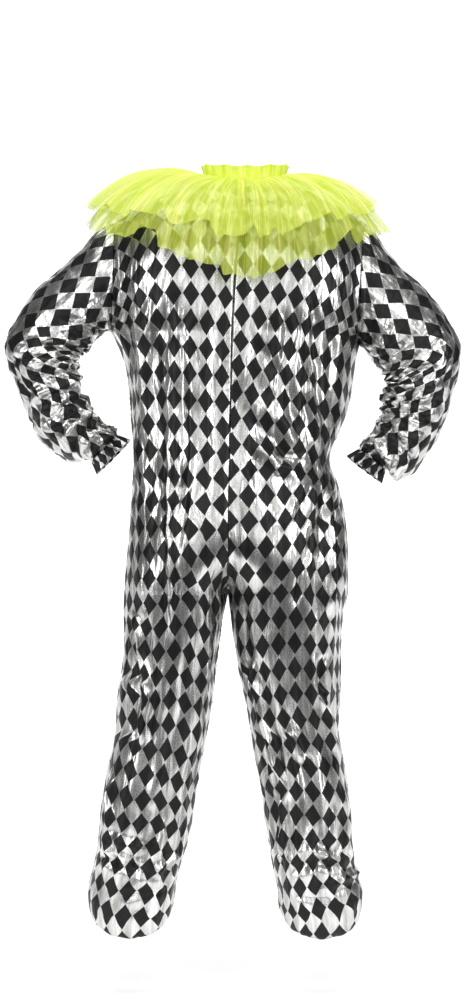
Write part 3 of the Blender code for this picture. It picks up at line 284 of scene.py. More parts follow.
# Creases that ring a sleeve: round is the angle from the underarm in half turns, by way of the front
# (0.5), the outside (1) and the back (1.5); along is the distance down the sleeve.
SLEEVE_CREASES = table(
    "side round_a along_a round_b along_b height width lean",
    (1, 1.9, 20, 1.6, 105, 4.5, 8, 0.8), (1, 1.95, 50, 1.45, 150, -4.5, 9, 0.4),
    (1, 2, 120, 1.5, 150, 6, 8, 1.2), (1, 2.05, 160, 1.35, 205, -6, 8.5, 0.8),
    (1, 2.05, 200, 1.3, 235, 7.5, 8, 1.4), (1, 2.05, 235, 1.25, 270, -7.5, 8, 0.8),
    (1, 2.05, 262, 1.2, 310, 8, 8.5, -1.2), (1, 2.1, 290, 1.25, 350, -7, 8, 0.8),
    (1, 2, 330, 1.3, 385, 7, 8, 1.4), (1, 1.85, 365, 1.2, 430, -6, 8, 0.6),
    (1, 1.9, 420, 1.2, 455, 6, 7.5, 1.2), (1, 0.05, 130, 0.7, 200, 5.5, 8.5, 1),
    (1, 0, 215, 0.75, 245, -7, 8.5, 0.8), (1, 0, 250, 0.8, 290, 8, 8.5, -1.2),
    (1, 0, 290, 0.75, 345, -7, 8, 0.8), (1, 0.1, 340, 0.8, 400, 6.5, 8, 1.2),
    (1, 0.1, 410, 0.8, 450, -6, 8, 0.6), (-1, 1.9, 30, 1.6, 110, 4.5, 8, 0.8),
    (-1, 2, 70, 1.45, 165, -5, 9, 0.4), (-1, 2.05, 140, 1.5, 175, 6, 8, 1.2),
    (-1, 2.05, 185, 1.35, 225, -6.5, 8.5, 0.8), (-1, 2.05, 222, 1.25, 262, 8, 8, 1.4),
    (-1, 2.05, 258, 1.25, 300, -7.5, 8.5, 0.8), (-1, 2.05, 300, 1.3, 335, 7.5, 8, -1.2),
    (-1, 2, 330, 1.25, 395, -7, 8, 0.8), (-1, 1.9, 385, 1.2, 430, 7, 8, 1.4),
    (-1, 1.85, 430, 1.15, 470, -6, 8, 0.6), (-1, 0.05, 150, 0.7, 220, 5.5, 8.5, 1),
    (-1, 0, 235, 0.75, 262, -7, 8.5, 0.8), (-1, 0, 272, 0.8, 315, 8, 8.5, -1.2),
    (-1, 0, 320, 0.75, 375, -7, 8, 0.8), (-1, 0.1, 380, 0.8, 430, 6.5, 8, 1.2),
    plain="side round_a round_b lean",
)
# Where a sleeve begins to be crushed and is so fully, where that eases again and by how much, the share
# of it that the outside of the bend takes, and how far the print shifts there.
CRUSH_START, CRUSH_FULL = 0.26, 0.46
CRUSH_EASES, CRUSH_EASED, CRUSH_LOSS = 0.72, 0.95, 0.35
CRUSH_OUTSIDE = 0.45
SLEEVE_SKEW = 0.016
# The first seed of the random values of each side.
PANEL_SEEDS, SLEEVE_SEEDS, SKEW_SEEDS = {1: 10, -1: 20}, {1: 40, -1: 60}, {1: 80, -1: 90}
# A half turn of the body's noise is this long, measured from the side seam.
PANEL_TURN = 0.30

# --- Working out surfaces ---------------------------------------------------------------------------


def through(at, keys, values):
    """Values at any places on a smooth curve through the keys: cubic pieces, each key's slope its
    neighbours' chord."""
    order = np.argsort(keys)
    keys, values = keys[order], values[order]
    slopes = np.gradient(values, keys)
    at = np.clip(at, keys[0], keys[-1])
    i = np.clip(np.searchsorted(keys, at) - 1, 0, len(keys) - 2)
    span = keys[i + 1] - keys[i]
    t = (at - keys[i]) / span
    start, end = values[i], values[i + 1]
    return (
        start * (1 + 2 * t) * (1 - t) ** 2
        + end * t**2 * (3 - 2 * t)
        + span * t * (1 - t) * (slopes[i] * (1 - t) - slopes[i + 1] * t)
    )


def eased(at, low, high):
    """0 below low, 1 above high and a smooth step between."""
    t = np.clip((at - low) / (high - low), 0, 1)
    return t * t * (3 - 2 * t)


def bump(offset, half_width):
    """A soft hump: 1 at its middle and gone at twice its half width."""
    return np.exp(-((offset / half_width) ** 2))


def ridge(distance, height, place, half_width):
    """A ridge this high at this distance."""
    return height * bump(distance - place, half_width)


def unit(vectors):
    """The vectors at length 1."""
    return vectors / np.linalg.norm(vectors, axis=-1, keepdims=True)


def running(steps, axis=0):
    """Running totals of the steps along an axis, from 0."""
    return np.concatenate([0 * np.take(steps, [0], axis), np.cumsum(steps, axis=axis)], axis=axis)


def lengths(points):
    """Distance along each row of points, from its first."""
    return running(np.linalg.norm(np.diff(points, axis=1), axis=2), 1)


def evened(points, shares):
    """Each row of points sampled at these shares of its own length."""
    along = lengths(points)
    at = along[:, -1:] * shares
    low = np.clip((along[:, :, None] <= at[:, None, :]).sum(axis=1) - 1, 0, points.shape[1] - 2)
    start, end = (np.take_along_axis(along, low + k, axis=1) for k in (0, 1))
    t = ((at - start) / (end - start))[:, :, None]
    first, second = (np.take_along_axis(points, (low + k)[:, :, None], axis=1) for k in (0, 1))
    return first * (1 - t) + second * t


def noise(across, along, cells, seed):
    """Smooth values from -1 to 1 on a plane: random values at whole numbers, eased between them.

    across repeats after this many cells, so a pattern closes round a tube.
    """
    values = np.random.default_rng(seed).uniform(-1, 1, (cells, NOISE_ROWS))
    i, j = np.floor(across).astype(int), np.floor(along).astype(int)
    s, t = eased(across - i, 0, 1), eased(along - j, 0, 1)
    left, right = i % cells, (i + 1) % cells
    low, high = j % NOISE_ROWS, (j + 1) % NOISE_ROWS
    first, second = (values[left, row] * (1 - s) + values[right, row] * s for row in (low, high))
    return first * (1 - t) + second * t


def folded_noise(across, along, cells, seed):
    """Rounded swellings between sharp valleys, from -1 to about 1."""
    return FOLD_HEIGHT * np.sqrt(noise(across, along, cells, seed) ** 2 + FOLD_ROUNDING) - 1


def grid_normals(points):
    """Unit normals of a grid: the cross product of its slopes along and across."""
    found = np.cross(np.gradient(points, axis=0), np.gradient(points, axis=1))
    return found / np.maximum(np.linalg.norm(found, axis=2, keepdims=True), 1e-12)


def edge_x(side, z, edge):
    """x of a panel's inner or side edge. Down to the crotch both sides' inner edges are one line."""
    left, right = (through(z, OUTLINE["z"], OUTLINE[word + edge]) for word in ("left_", "right_"))
    own = left if side > 0 else right
    return np.where(z > CROTCH_Z, (left + right) / 2, own) if edge == "in" else own


def depth(face, z):
    """How far the back or the front stands out at these heights."""
    return through(z, DEPTH["z"], DEPTH["back" if face > 0 else "front"])


def hem_sag(z, to_back, turn_in):
    """How far the cloth near the leg's end is moved up: a parabola through the hem's three heights by
    to_back, which is 1 at the back's middle, 0 at the sides and -1 in front. It fades where the cloth
    has turned inside."""
    slant, sag = (HEM_BACK - HEM_FRONT) / 2, (HEM_BACK + HEM_FRONT) / 2 - HEM_SIDE
    rise = HEM_SIDE + slant * to_back + sag * to_back**2
    return rise * eased(-z, -HEM_START_Z, -LEG_END_Z) * np.clip(4 - 2 * turn_in / TURN_IN, 0, 1)


def sections(side, face, centre_z, side_z, turn_in, dense=240):
    """Rows of a panel below the armpit, from the inner edge round to the side seam.

    Each is part of a rounded outline: a quarter above the seat, from the centre seam, and a half below
    the crotch, from the inside leg. Between them the start moves round, so the centre seam follows a J to
    the crotch.
    """
    round_to_side = np.linspace(0, 1, dense)[None, :]
    centre_z, side_z, turn_in = centre_z[:, None], side_z[:, None], turn_in[:, None]
    z = centre_z + (side_z - centre_z) * round_to_side**2
    inner, outer = edge_x(side, z, "in"), edge_x(side, z, "out")
    share = eased(-centre_z, -SEAT_Z, -CROTCH_Z)
    width = outer - inner
    half_width = width * (1 - share / 2) - side * turn_in
    power = 2 / BODY_ROUNDNESS
    start = np.arccos(-((share / (2 - share)) ** (1 / power)))
    angle = start * (1 - round_to_side)
    x = inner + share * width / 2 + half_width * np.sign(np.cos(angle)) * np.abs(np.cos(angle)) ** power
    to_back = face * np.abs(np.sin(angle)) ** power
    y = (depth(face, z) - turn_in) * to_back
    return np.stack(np.broadcast_arrays(x, y, z + hem_sag(z, to_back, turn_in)), axis=2)


def top_edge(side, face, columns):
    """The panel's top edge: half its columns along the neckline and half along the shoulder seam."""
    reach, drop = (NECK_BACK, NECK_DROP_BACK) if face > 0 else (NECK_FRONT, NECK_DROP_FRONT)
    start_x, (tip_x, tip_z) = side * NECK_HALF_WIDTH, SHOULDER_TIP[side]
    angle = np.linspace(np.pi / 2, 0, columns // 2 + 1)
    up, out = np.sin(angle), np.cos(angle)
    neck = np.stack([start_x * out, face * reach * up, -drop * up**2], axis=1)
    t = np.linspace(0, 1, columns - columns // 2 + 1)[1:]
    seam = np.stack([start_x + (tip_x - start_x) * t, 0 * t, tip_z * t**SHOULDER_CURVE], axis=1)
    return np.concatenate([neck, seam])


def armhole(side, face, share):
    """Points of the armhole from the armpit (0) to the shoulder tip (1), by way of the back or the
    front."""
    low_z, (high_x, high_z) = ARMPIT_Z[side], SHOULDER_TIP[side]
    low_x = edge_x(side, np.float64(low_z), "out")
    rise = (1 - np.cos(np.pi * share)) / 2
    x = low_x + (high_x - low_x) * rise - side * ARMHOLE_BOW * np.sin(np.pi * share)
    z = low_z + (high_z - low_z) * rise
    return np.stack([x, face * ARMHOLE_HALF_DEPTH * np.sin(np.pi * share), z], axis=-1)


def yoke(side, face, share, across, chest):
    """Rows above the armpit: a patch between the chest row, the armhole, the top edge and the centre
    seam.

    The columns rise as quarter ovals, so they pass level over the shoulder.
    """
    top = top_edge(side, face, len(across) - 1)
    weight = np.stack([share, 1 - np.cos(np.pi * share / 2), np.sin(np.pi * share / 2)], axis=1)[:, None, :]
    arm = armhole(side, face, share)
    centre_z = chest[0, 2] + (top[0, 2] - chest[0, 2]) * weight[:, 0, 2]
    centre_x = chest[0, 0] + (top[0, 0] - chest[0, 0]) * share
    centre_y = face * depth(face, centre_z)
    centre_y = centre_y + (top[0, 1] - centre_y[0]) * share**4
    centre = np.stack([centre_x, centre_y, centre_z], axis=1)
    u = across[None, :, None]
    return (
        (1 - weight) * chest[None]
        + weight * top[None]
        + (1 - u) * (centre[:, None] - (1 - weight) * chest[0] - weight * top[0])
        + u * (arm[:, None] - (1 - weight) * chest[-1] - weight * top[-1])
    )


def panel_surface(side, face):
    """Smooth points of one body panel from its top edge to the leg's end, before it is creased."""
    across = np.linspace(0, 1, PANEL_COLUMNS + 1)
    torso = np.linspace(CHEST_Z, SEAT_Z, TORSO_ROWS + 1)
    torso_side = np.linspace(ARMPIT_Z[side], SEAT_Z, TORSO_ROWS + 1)
    fork = SEAT_Z + (CROTCH_Z - SEAT_Z) * np.sin(np.linspace(0, np.pi / 2, FORK_ROWS + 1)[1:])
    leg = np.linspace(CROTCH_Z, LEG_END_Z, LEG_ROWS + 1)[1:]
    turn = np.linspace(0, np.pi, TURN_ROWS + 1)[1:]
    low = LEG_END_Z - TURN_DOWN
    down, up = LEG_END_Z - TURN_DOWN * np.sin(turn), low + TURN_UP * (1 - np.sin(turn)) / 2
    under = np.where(turn <= np.pi / 2, down, up)
    end = np.linspace(under[-1], under[-1] + TURN_UP / 3, 4)[1:]
    below = np.concatenate([fork, leg, under, end])
    flat = np.zeros(len(torso) + len(fork) + len(leg))
    turn_in = np.concatenate([flat, TURN_IN * (1 - np.cos(turn)), np.full(len(end), 2 * TURN_IN)])
    rows = (np.concatenate([above, below]) for above in (torso, torso_side))
    lower = evened(sections(side, face, *rows, turn_in), across)
    upper = yoke(side, face, np.linspace(1, 0, YOKE_ROWS + 1)[:-1], across, lower[0])
    return np.concatenate([upper, lower])


def spread(values, reach):
    """Each value replaced by the mean of its neighbours along the row, this many each way."""
    padded = np.pad(values, ((0, 0), (reach + 1, reach)), mode="edge")
    total = np.cumsum(padded, axis=1)
    return (total[:, 2 * reach + 1 :] - total[:, : -2 * reach - 1]) / (2 * reach + 1)


def gathered_length(points, base):
    """How much longer than the smooth surface the creased cloth is, down each column from the first row."""
    creased, smooth = (np.linalg.norm(np.diff(grid, axis=0), axis=2) for grid in (points, base))
    return spread(running(np.maximum(creased - smooth, 0)), GATHER_REACH)


def body_coordinates(points, base, side, tiny=1e-9):
    """Where each point lies on the flat cloth, in metres: outwards from the grain line, and down it.

    The grain line runs down the middle of the leg and straight up from the crotch. Across is measured
    along the creased rows, less their slant against the grain, so the print stays square to a leg that
    stands apart.
    """
    z = np.clip(base[:, 0, 2], LEG_END_Z, GRAIN_TOP_Z)
    grain_x = (edge_x(side, z, "in") + edge_x(side, z, "out")) / 2
    reached = side * (base[:, :, 0] - grain_x[:, None]) < 0
    column = np.clip(reached.sum(axis=1), 1, base.shape[1] - 1)
    rows = np.arange(len(base))
    before, after = base[rows, column - 1, 0], base[rows, column, 0]
    gap = np.where(np.abs(after - before) < tiny, tiny, after - before)
    t = np.clip((grain_x - before) / gap, 0, 1)

    def on_grain(values):
        return values[rows, column - 1] * (1 - t) + values[rows, column] * t

    line = np.stack([on_grain(base[:, :, k]) for k in range(3)], axis=1)
    down = lengths(line[None])[0]
    slope = np.gradient(grain_x, down + tiny * rows)[:, None]
    slant_step = np.diff(points[:, :, 0], axis=1) * slope
    steps = np.linalg.norm(np.diff(points, axis=1), axis=2) ** 2 - slant_step**2
    across = running(np.sqrt(np.maximum(steps, 0)), 1)
    across -= on_grain(across)[:, None]
    return across, down[:, None] + (base[:, :, 0] - grain_x[:, None]) * slope + gathered_length(points, base)


def arm_coordinates(points, base, side):
    """Where each point lies on a sleeve's flat cloth, in metres: round it from the back, and down it.

    Each half of the arm is unrolled square to its own direction, from the outside of the elbow, and the
    two maps pass into each other over the bend, where the inside of the elbow crushes the print.
    """
    outside, back = SLEEVE_COLUMNS // 2, 3 * SLEEVE_COLUMNS // 4
    elbow_row = round(ELBOW * SLEEVE_ROWS)
    elbow = base[elbow_row, outside]
    step = np.diff(points, axis=1)
    maps = []
    for slope, turn_back in ARM_WAYS:
        slope = np.radians(slope)
        way = unit(np.array([side * np.cos(slope), turn_back, np.sin(slope)]))
        sideways = np.array([-side * way[2], 0, side * way[0]])
        across = running(np.sqrt(np.maximum(np.sum(step**2, axis=2) - (step @ way) ** 2, 0)), 1)
        across = across[:, back : back + 1] - across + ((base[:, back] - elbow) @ sideways)[:, None]
        maps.append((across - across[elbow_row, outside], (base - elbow) @ way))
    blend = eased(np.linspace(0, 1, SLEEVE_ROWS + 1), ELBOW_START, ELBOW_END)[:, None]
    across, down = (first * (1 - blend) + second * blend for first, second in zip(*maps))
    return across, down + ARM_GATHER * gathered_length(points, base)


def crease(across, along, length, height, width, lean, seed):
    """One crease: its section is a hump or trough with two lesser ones of the other sign beside it,
    and a lean. It wanders a little and tapers to both ends."""
    off = across / width + CREASE_WANDER * np.sin(CREASE_TWIST * along / width + seed)
    taper = eased(along, 0, CREASE_START * length) * eased(length - along, 0, CREASE_END * length)
    swing = 1 - CREASE_SWING + CREASE_SWING * np.sin(along / CREASE_BEAT + 2 * seed)
    beside = bump(off - CREASE_BESIDE, 1) + bump(off + CREASE_BESIDE, 1)
    return height * taper * swing * ((1 + lean * off) * bump(off, 1) - CREASE_TROUGH * beside)


def crease_heights(creases, column, value, offsets):
    """Heights of the creases in the rows of a table whose column holds this value. offsets gives a
    crease's reach from its start to its end, and each point's distance from its start, both sideways
    and up or down."""
    total = 0.0
    for row in np.flatnonzero(creases[column] == value):
        c = {name: values[row] for name, values in creases.items()}
        reach, (sideways, down) = offsets(c)
        length = np.linalg.norm(reach)
        way = np.array(reach) / length
        along = sideways * way[0] + down * way[1]
        share = np.clip(along / length, 0, 1)
        across = sideways * way[1] - down * way[0] + 4 * c.get("bend", 0) * share * (1 - share)
        total = total + crease(across, along, length, c["height"], c["width"], c["lean"], row)
    return total


def body_creases(points, face):
    """Heights of all the body's creases on one face."""

    def offsets(c):
        reach = c["x_b"] - c["x_a"], c["z_b"] - c["z_a"]
        return reach, (points[:, :, 0] - c["x_a"], points[:, :, 2] - c["z_a"])

    return crease_heights(BODY_CREASES, "face", face, offsets)


def sleeve_creases(place, down, girth, side):
    """Heights of all the creases of one sleeve."""

    def offsets(c):
        reach = (c["round_b"] - c["round_a"]) * girth.mean() / 2, c["along_b"] - c["along_a"]
        return reach, (((place - c["round_a"] + 1) % 2 - 1) * girth / 2, down - c["along_a"])

    return crease_heights(SLEEVE_CREASES, "side", side, offsets)


# --- Meshes -----------------------------------------------------------------------------------------


def grid_mesh(name, points, uv, closed=False):
    """A mesh object of a grid of points with its UV map in metres. Faces look the way that rows by
    columns turn.

    closed joins each row's last point to its first. There the map runs on past the last column.
    """
    rows, columns = points.shape[:2]
    if closed:
        points = points[:, :-1]
    kept = points.shape[1]
    r, c = np.meshgrid(np.arange(rows - 1), np.arange(columns - 1), indexing="ij")

    def corners(wide, after):
        upper, lower = r * wide, (r + 1) * wide
        quads = np.stack([upper + c, lower + c, lower + after, upper + after], axis=-1)
        return quads.astype(np.int32).ravel()

    mesh = bpy.data.meshes.new(name)
    mesh.vertices.add(rows * kept)
    mesh.vertices.foreach_set("co", points.astype(np.float32).ravel())
    mesh.loops.add(4 * r.size)
    mesh.loops.foreach_set("vertex_index", corners(kept, (c + 1) % kept if closed else c + 1))
    mesh.polygons.add(r.size)
    mesh.polygons.foreach_set("loop_start", np.arange(0, 4 * r.size, 4, dtype=np.int32))
    layer = mesh.uv_layers.new(name="Cloth")
    layer.data.foreach_set("uv", uv.reshape(-1, 2)[corners(columns, c + 1)].astype(np.float32).ravel())
    mesh.update(calc_edges=True)
    mesh.shade_smooth()
    made = bpy.data.objects.new(name, mesh)
    bpy.context.scene.collection.objects.link(made)
    return made


def sheet_area(points):
    """Area of a grid's quads."""
    a, b = points[1:, 1:] - points[:-1, :-1], points[1:, :-1] - points[:-1, 1:]
    return float(np.linalg.norm(np.cross(a, b), axis=2).sum() / 2)


def cloth_piece(node, points, uv, finish, flip, closed=False, wall=0.0):
    """The cloth that stands in for a node, riding on the garment. flip turns its faces over, and a
    wall is added inside its outer face."""
    if flip:
        points, uv = points[:, ::-1], uv[:, ::-1]
    piece = grid_mesh(node + "_cloth", points, uv, closed)
    if wall:
        change = piece.modifiers.new("Cloth thickness", "SOLIDIFY")
        change.thickness, change.offset = wall, -1
        change.use_even_offset = False
    piece.data.materials.append(finish)
    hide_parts(node)
    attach(piece, GARMENT)
    return piece


# --- Shader maths -----------------------------------------------------------------------------------


class Wire:
    """A socket's value. Python's operators on it add Math nodes."""

    def __init__(self, graph, socket):
        self.graph, self.socket = graph, socket

    def math(self, operation, *others):
        return self.graph.node("ShaderNodeMath", {"operation": operation}, self, *others).out()

    def __add__(self, other):
        return self.math("ADD", other)

    __radd__ = __add__

    def __mul__(self, other):
        return self.math("MULTIPLY", other)

    __rmul__ = __mul__

    def __sub__(self, other):
        return self.math("SUBTRACT", other)

    def __rsub__(self, other):
        return self.math("MULTIPLY", -1).math("ADD", other)

    def __truediv__(self, other):
        return self.math("DIVIDE", other)

    def __abs__(self):
        return self.math("ABSOLUTE")

    def from_whole(self):
        """Distance to the nearest whole number."""
        return abs((self + 0.5).math("FRACT") - 0.5)

    def step(self, low, high):
        """0 below low, 1 above high and an even slope between."""
        return self.graph.node("ShaderNodeMapRange", {"clamp": True}, self, low, high, 0.0, 1.0).out()


class Made:
    """A node of a graph."""

    def __init__(self, graph, node):
        self.graph, self.node = graph, node

    def out(self, name=0):
        return Wire(self.graph, self.node.outputs[name])


class Graph:
    """A material's nodes."""

    def __init__(self, name):
        self.material = bpy.data.materials.new(name)
        self.material.use_nodes = True
        self.tree = self.material.node_tree
        self.shader = Made(self, self.tree.nodes["Principled BSDF"])

    def node(self, kind, settings=None, *values, **named):
        """A node with its settings, and values or links for its sockets in order or by name."""
        made = self.tree.nodes.new(kind)
        for key, value in (settings or {}).items():
            setattr(made, key, value)
        for i, value in enumerate(values):
            self.feed(made.inputs[i], value)
        for key, value in named.items():
            self.feed(made.inputs[key.replace("_", " ")], value)
        return Made(self, made)

    def feed(self, socket, value):
        """Links a wire to the socket, or sets its value."""
        if isinstance(value, Wire):
            self.tree.links.new(value.socket, socket)
        else:
            socket.default_value = value

    def finish(self, **sockets):
        """Feeds the shader's sockets."""
        for key, value in sockets.items():
            self.feed(self.shader.node.inputs[key.replace("_", " ")], value)
        return self.material

    def cloth_uv(self):
        """Across and down the cloth, in metres."""
        uv = self.node("ShaderNodeUVMap", {"uv_map": "Cloth"})
        parts = self.node("ShaderNodeSeparateXYZ", None, uv.out())
        return parts.out("X"), parts.out("Y")

    def noise(self, vector, scale, detail=3.0, roughness=0.55, distortion=0.0):
        """Noise on a vector, with this many cells to its unit."""
        named = {"Detail": detail, "Roughness": roughness, "Distortion": distortion}
        made = self.node("ShaderNodeTexNoise", None, Vector=vector, Scale=scale, **named)
        return made.out("Factor" if "Factor" in made.node.outputs else "Fac")

    def plane(self, across, down):
        """A place on a plane."""
        return self.node("ShaderNodeCombineXYZ", None, across, down).out()

    def flat_noise(self, across, down, *kind):
        """Noise on a plane that is measured in cells. kind is its detail, roughness and distortion."""
        return self.noise(self.plane(across, down), 1.0, *kind)

    def bump(self, height, distance, strength=1.0):
        """The normal of a relief this deep."""
        named = {"Strength": strength, "Distance": distance, "Height": height}
        return self.node("ShaderNodeBump", None, **named).out("Normal")

    def colours(self, factor, first, second):
        """A colour between two by the factor."""
        made = self.node("ShaderNodeMix", {"data_type": "RGBA"})
        for socket, value in (("Factor", factor), (6, first), (7, second)):
            self.feed(made.node.inputs[socket], value)
        return Wire(self, made.node.outputs[2])


# The foil's unevenness: cells a metre across the cloth and down it, then detail, roughness and
# distortion.
FALLS, STREAKS = (60.0, 9.0, 1.5, 0.45, 0.2), (170.0, 24.0, 2.0, 0.5, 0.2)
CRINKLE, PATCHES = (700.0, 420.0, 3.0, 0.6), (26.0, 12.0, 3.0)
PRINT_WOBBLE, PRINT_EDGE, FOIL_RELIEF, FOIL_SHEEN = 0.0010, 0.012, 0.0042, 0.28
# The organza's threads and their runs, in cells a metre.
THREADS, THREAD_RUN, THREAD_RELIEF, ORGANZA_SHEEN = 1400.0, 90.0, 0.0004, 0.25
DOUBLED_COVER = 0.45


def harlequin_cloth(name, sizes):
    """Black diamonds printed on crinkled silver foil. A place is black where its distances to the nearest
    diamond column and row, each as a share of the spacing, add to under a half. The foil's relief follows its
    falls, streaks and fine crinkles, and its roughness the crinkles. Its colour is painted brighter where
    that relief stands higher and darker where it is lower: painted highlights and painted shade."""
    g = Graph(name)
    u, v = g.cloth_uv()
    wobble = (g.noise(g.plane(u, v), 90.0, 2.0) - 0.5) * PRINT_WOBBLE
    columns, rows = (u + wobble) / sizes.diamond_width, (v + wobble) / sizes.diamond_height
    distance = columns.from_whole() + rows.from_whole()
    black = 1 - distance.step(sizes.black_share - PRINT_EDGE, sizes.black_share + PRINT_EDGE)
    falls, streaks, crinkle, patches = (
        g.flat_noise(u * across, v * down, *kind)
        for across, down, *kind in (FALLS, STREAKS, CRINKLE, PATCHES)
    )
    # Painted highlight and painted shade: the silver is painted from bright to dull by the same noise that
    # raises the relief, so its crests look lit and its lows look shaded.
    painted_light = (falls * 0.56 + streaks * 0.34 + crinkle * 0.10).step(0.32, 0.62)
    silver = g.colours(painted_light, sizes.painted_shade_silver, sizes.silver)
    ink = g.colours(patches.step(0.35, 0.75), sizes.ink, sizes.worn_ink)
    return g.finish(
        Base_Color=g.colours(black, silver, ink),
        Metallic=1 - black,
        Roughness=black * (0.34 + patches * 0.12) + (1 - black) * (0.22 + crinkle * 0.12),
        Normal=g.bump(falls + streaks * 0.22 + crinkle * 0.03, FOIL_RELIEF),
        Specular_IOR_Level=FOIL_SHEEN,
    )


def organza(name, sizes, extra=0.0):
    """Sheer lime organza: a fine square mesh of threads, denser by extra cover where it is doubled, in its
    folds and where it is gathered into the neck band. Its colour varies at random in tone, and it is painted
    paler towards pale lime on some of its folds and at the sharp edges of its folds, as painted highlights."""
    g = Graph(name)
    u, v = g.cloth_uv()
    tone = g.noise(g.plane(u, v), 30.0, 3.0)
    folds = g.flat_noise(u * 44.0, v * 3.0, 3.0, 0.6)
    edges = g.flat_noise(u * 120.0 + v * 9.0, v * 4.0, 1.0).step(0.56, 0.62)
    edges = edges + g.flat_noise(u * 110.0 - v * 16.0, v * 4.0, 1.0).step(0.60, 0.66) * 0.7
    warp, weft = (g.flat_noise(u * a, v * b, 2.0) for a, b in ((THREADS, THREAD_RUN), (THREAD_RUN, THREADS)))
    threads = warp * 0.5 + weft * 0.5
    # Random tone mixed with painted highlights: the colour is painted paler on the folds' crests and at their
    # sharp edges.
    tone_and_painted_highlight = (tone * 0.4 + folds * 0.6).step(0.36, 0.64) * 0.65 + edges * 0.35
    gathered = (1 - v.step(0.01, 0.09)) * 0.22
    cover = sizes.cover + extra + (threads - 0.5) * 0.16 + (folds - 0.5) * 0.6 + edges * 0.14 + gathered
    made = g.finish(
        Base_Color=g.colours(tone_and_painted_highlight, sizes.lime, sizes.pale_lime),
        Alpha=cover,
        Roughness=0.5,
        Normal=g.bump(threads, THREAD_RELIEF, 0.25),
        Specular_IOR_Level=ORGANZA_SHEEN,
    )
    made.surface_render_method = "DITHERED"
    return made


def plain_material(name, colour, roughness, metallic=0.0, cells=900.0, relief=0.0002):
    """A finish with a fine grain on Object coordinates, darker in the grain."""
    g = Graph(name)
    grain = g.noise(g.node("ShaderNodeTexCoord").out("Object"), cells, 3.0)
    dark = tuple(0.75 * c for c in colour[:3]) + (1,)
    return g.finish(
        Base_Color=g.colours(grain, dark, colour),
        Roughness=roughness + (grain - 0.5) * 0.15,
        Metallic=metallic,
        Normal=g.bump(grain, relief, 0.5),
    )


def material(name, make, *args):
    """The named material, made once."""
    return bpy.data.materials.get(name) or make(name, *args)


# --- Settings ---------------------------------------------------------------------------------------


def length_setting(name, description, default):
    """A length in metres."""
    return bpy.props.FloatProperty(name=name, description=description, default=default, unit="LENGTH")


def colour_setting(name, description, *default):
    """A colour."""
    return bpy.props.FloatVectorProperty(
        name=name, description=description, default=(*default, 1), size=4, subtype="COLOR", min=0, max=1
    )


class ClothSizes(bpy.types.PropertyGroup):
    diamond_width: length_setting("Diamond width", "Across one black diamond and its silver neck", 0.031)
    diamond_height: length_setting("Diamond height", "Up one black diamond and its silver neck", 0.0489)
    black_share: bpy.props.FloatProperty(
        name="Black share", description="0.5 makes black and silver diamonds equal", default=0.478
    )
    wall: length_setting("Cloth", "Thickness of the foil cloth", 0.0007)
    # Silver is the foil's own bright colour. Dull silver is painted shade: the darker colour painted into the
    # foil's lower streaks and falls.
    silver: colour_setting("Silver", "Bright foil", 0.96, 0.965, 0.95)
    painted_shade_silver: colour_setting("Dull silver", "Foil where it is dull", 0.36, 0.365, 0.34)
    ink: colour_setting("Ink", "Black print", 0.006, 0.006, 0.007)
    worn_ink: colour_setting("Worn ink", "Paler patches of the print", 0.014, 0.014, 0.015)


class RuffSizes(bpy.types.PropertyGroup):
    cover: bpy.props.FloatProperty(
        name="Cover", description="How much one ply of organza hides", default=0.46,
        subtype="FACTOR", min=0, max=1,
    )
    wave: length_setting("Wave", "Height of the hem's waves", 0.009)
    lime: colour_setting("Lime", "Organza", 0.72, 0.90, 0.030)
    pale_lime: colour_setting("Pale lime", "Organza where it catches the light", 1.0, 1.0, 0.32)


class StageSizes(bpy.types.PropertyGroup):
    distance: length_setting("Camera distance", "From the camera to the garment's middle", 3.5)
    seen_height: length_setting("Seen height", "Height of the view at the garment", 1.92)
    floor_z: length_setting("Floor", "Height of the floor", -1.536)


# --- Body panels ------------------------------------------------------------------------------------

# Layers of unevenness of hanging cloth: its kind, height, cells round, the length of a cell and how much
# of the sway moves it; and the sway itself, in cells.
HANGING_LAYERS = (
    (noise, 0.0030, 12, 0.190, 0),
    (folded_noise, 0.0012, 30, 0.160, 1),
    (noise, 0.00045, 84, 0.090, 2),
    (noise, 0.0004, 50, 0.030, 0),
)
HANGING_SWAY = 0.35, 8, 0.110
# The same for a sleeve: its kind, height, further height where it is crushed, cells round, the length of
# a cell and how much of the sway moves it round and down.
SLEEVE_LAYERS = (
    (folded_noise, 0, 0.0052, 9, 0.040, 1, 1.2),
    (folded_noise, 0, 0.0028, 16, 0.024, 1, 1),
    (folded_noise, 0.0004, 0.0004, 38, 0.011, 0, 0),
    (noise, 0.0022, 0, 8, 0.070, 0, 0),
    (folded_noise, 0.0010, 0, 22, 0.030, 0, 0),
)
SLEEVE_SWAY = 0.5, 6, 0.050
SKEW_CELLS, SKEW_LENGTH = 7, 0.050


def swaying(turn, down, seed, height, cells, length):
    """A slow sway, in cells, that moves finer layers together."""
    return height * noise(turn * cells, down / length, cells, seed)


def cloth_waves(round_place, z, side):
    """Unevenness of cloth that hangs: broad falls, narrower ones with sharp valleys, ripples and small
    dents."""
    turn, seed = (round_place + 1) / 2, PANEL_SEEDS[side]
    sway = swaying(turn, z, seed + 5, *HANGING_SWAY)
    return sum(
        height * kind(turn * cells + moved * sway, z / length, cells, seed + k)
        for k, (kind, height, cells, length, moved) in enumerate(HANGING_LAYERS)
    )


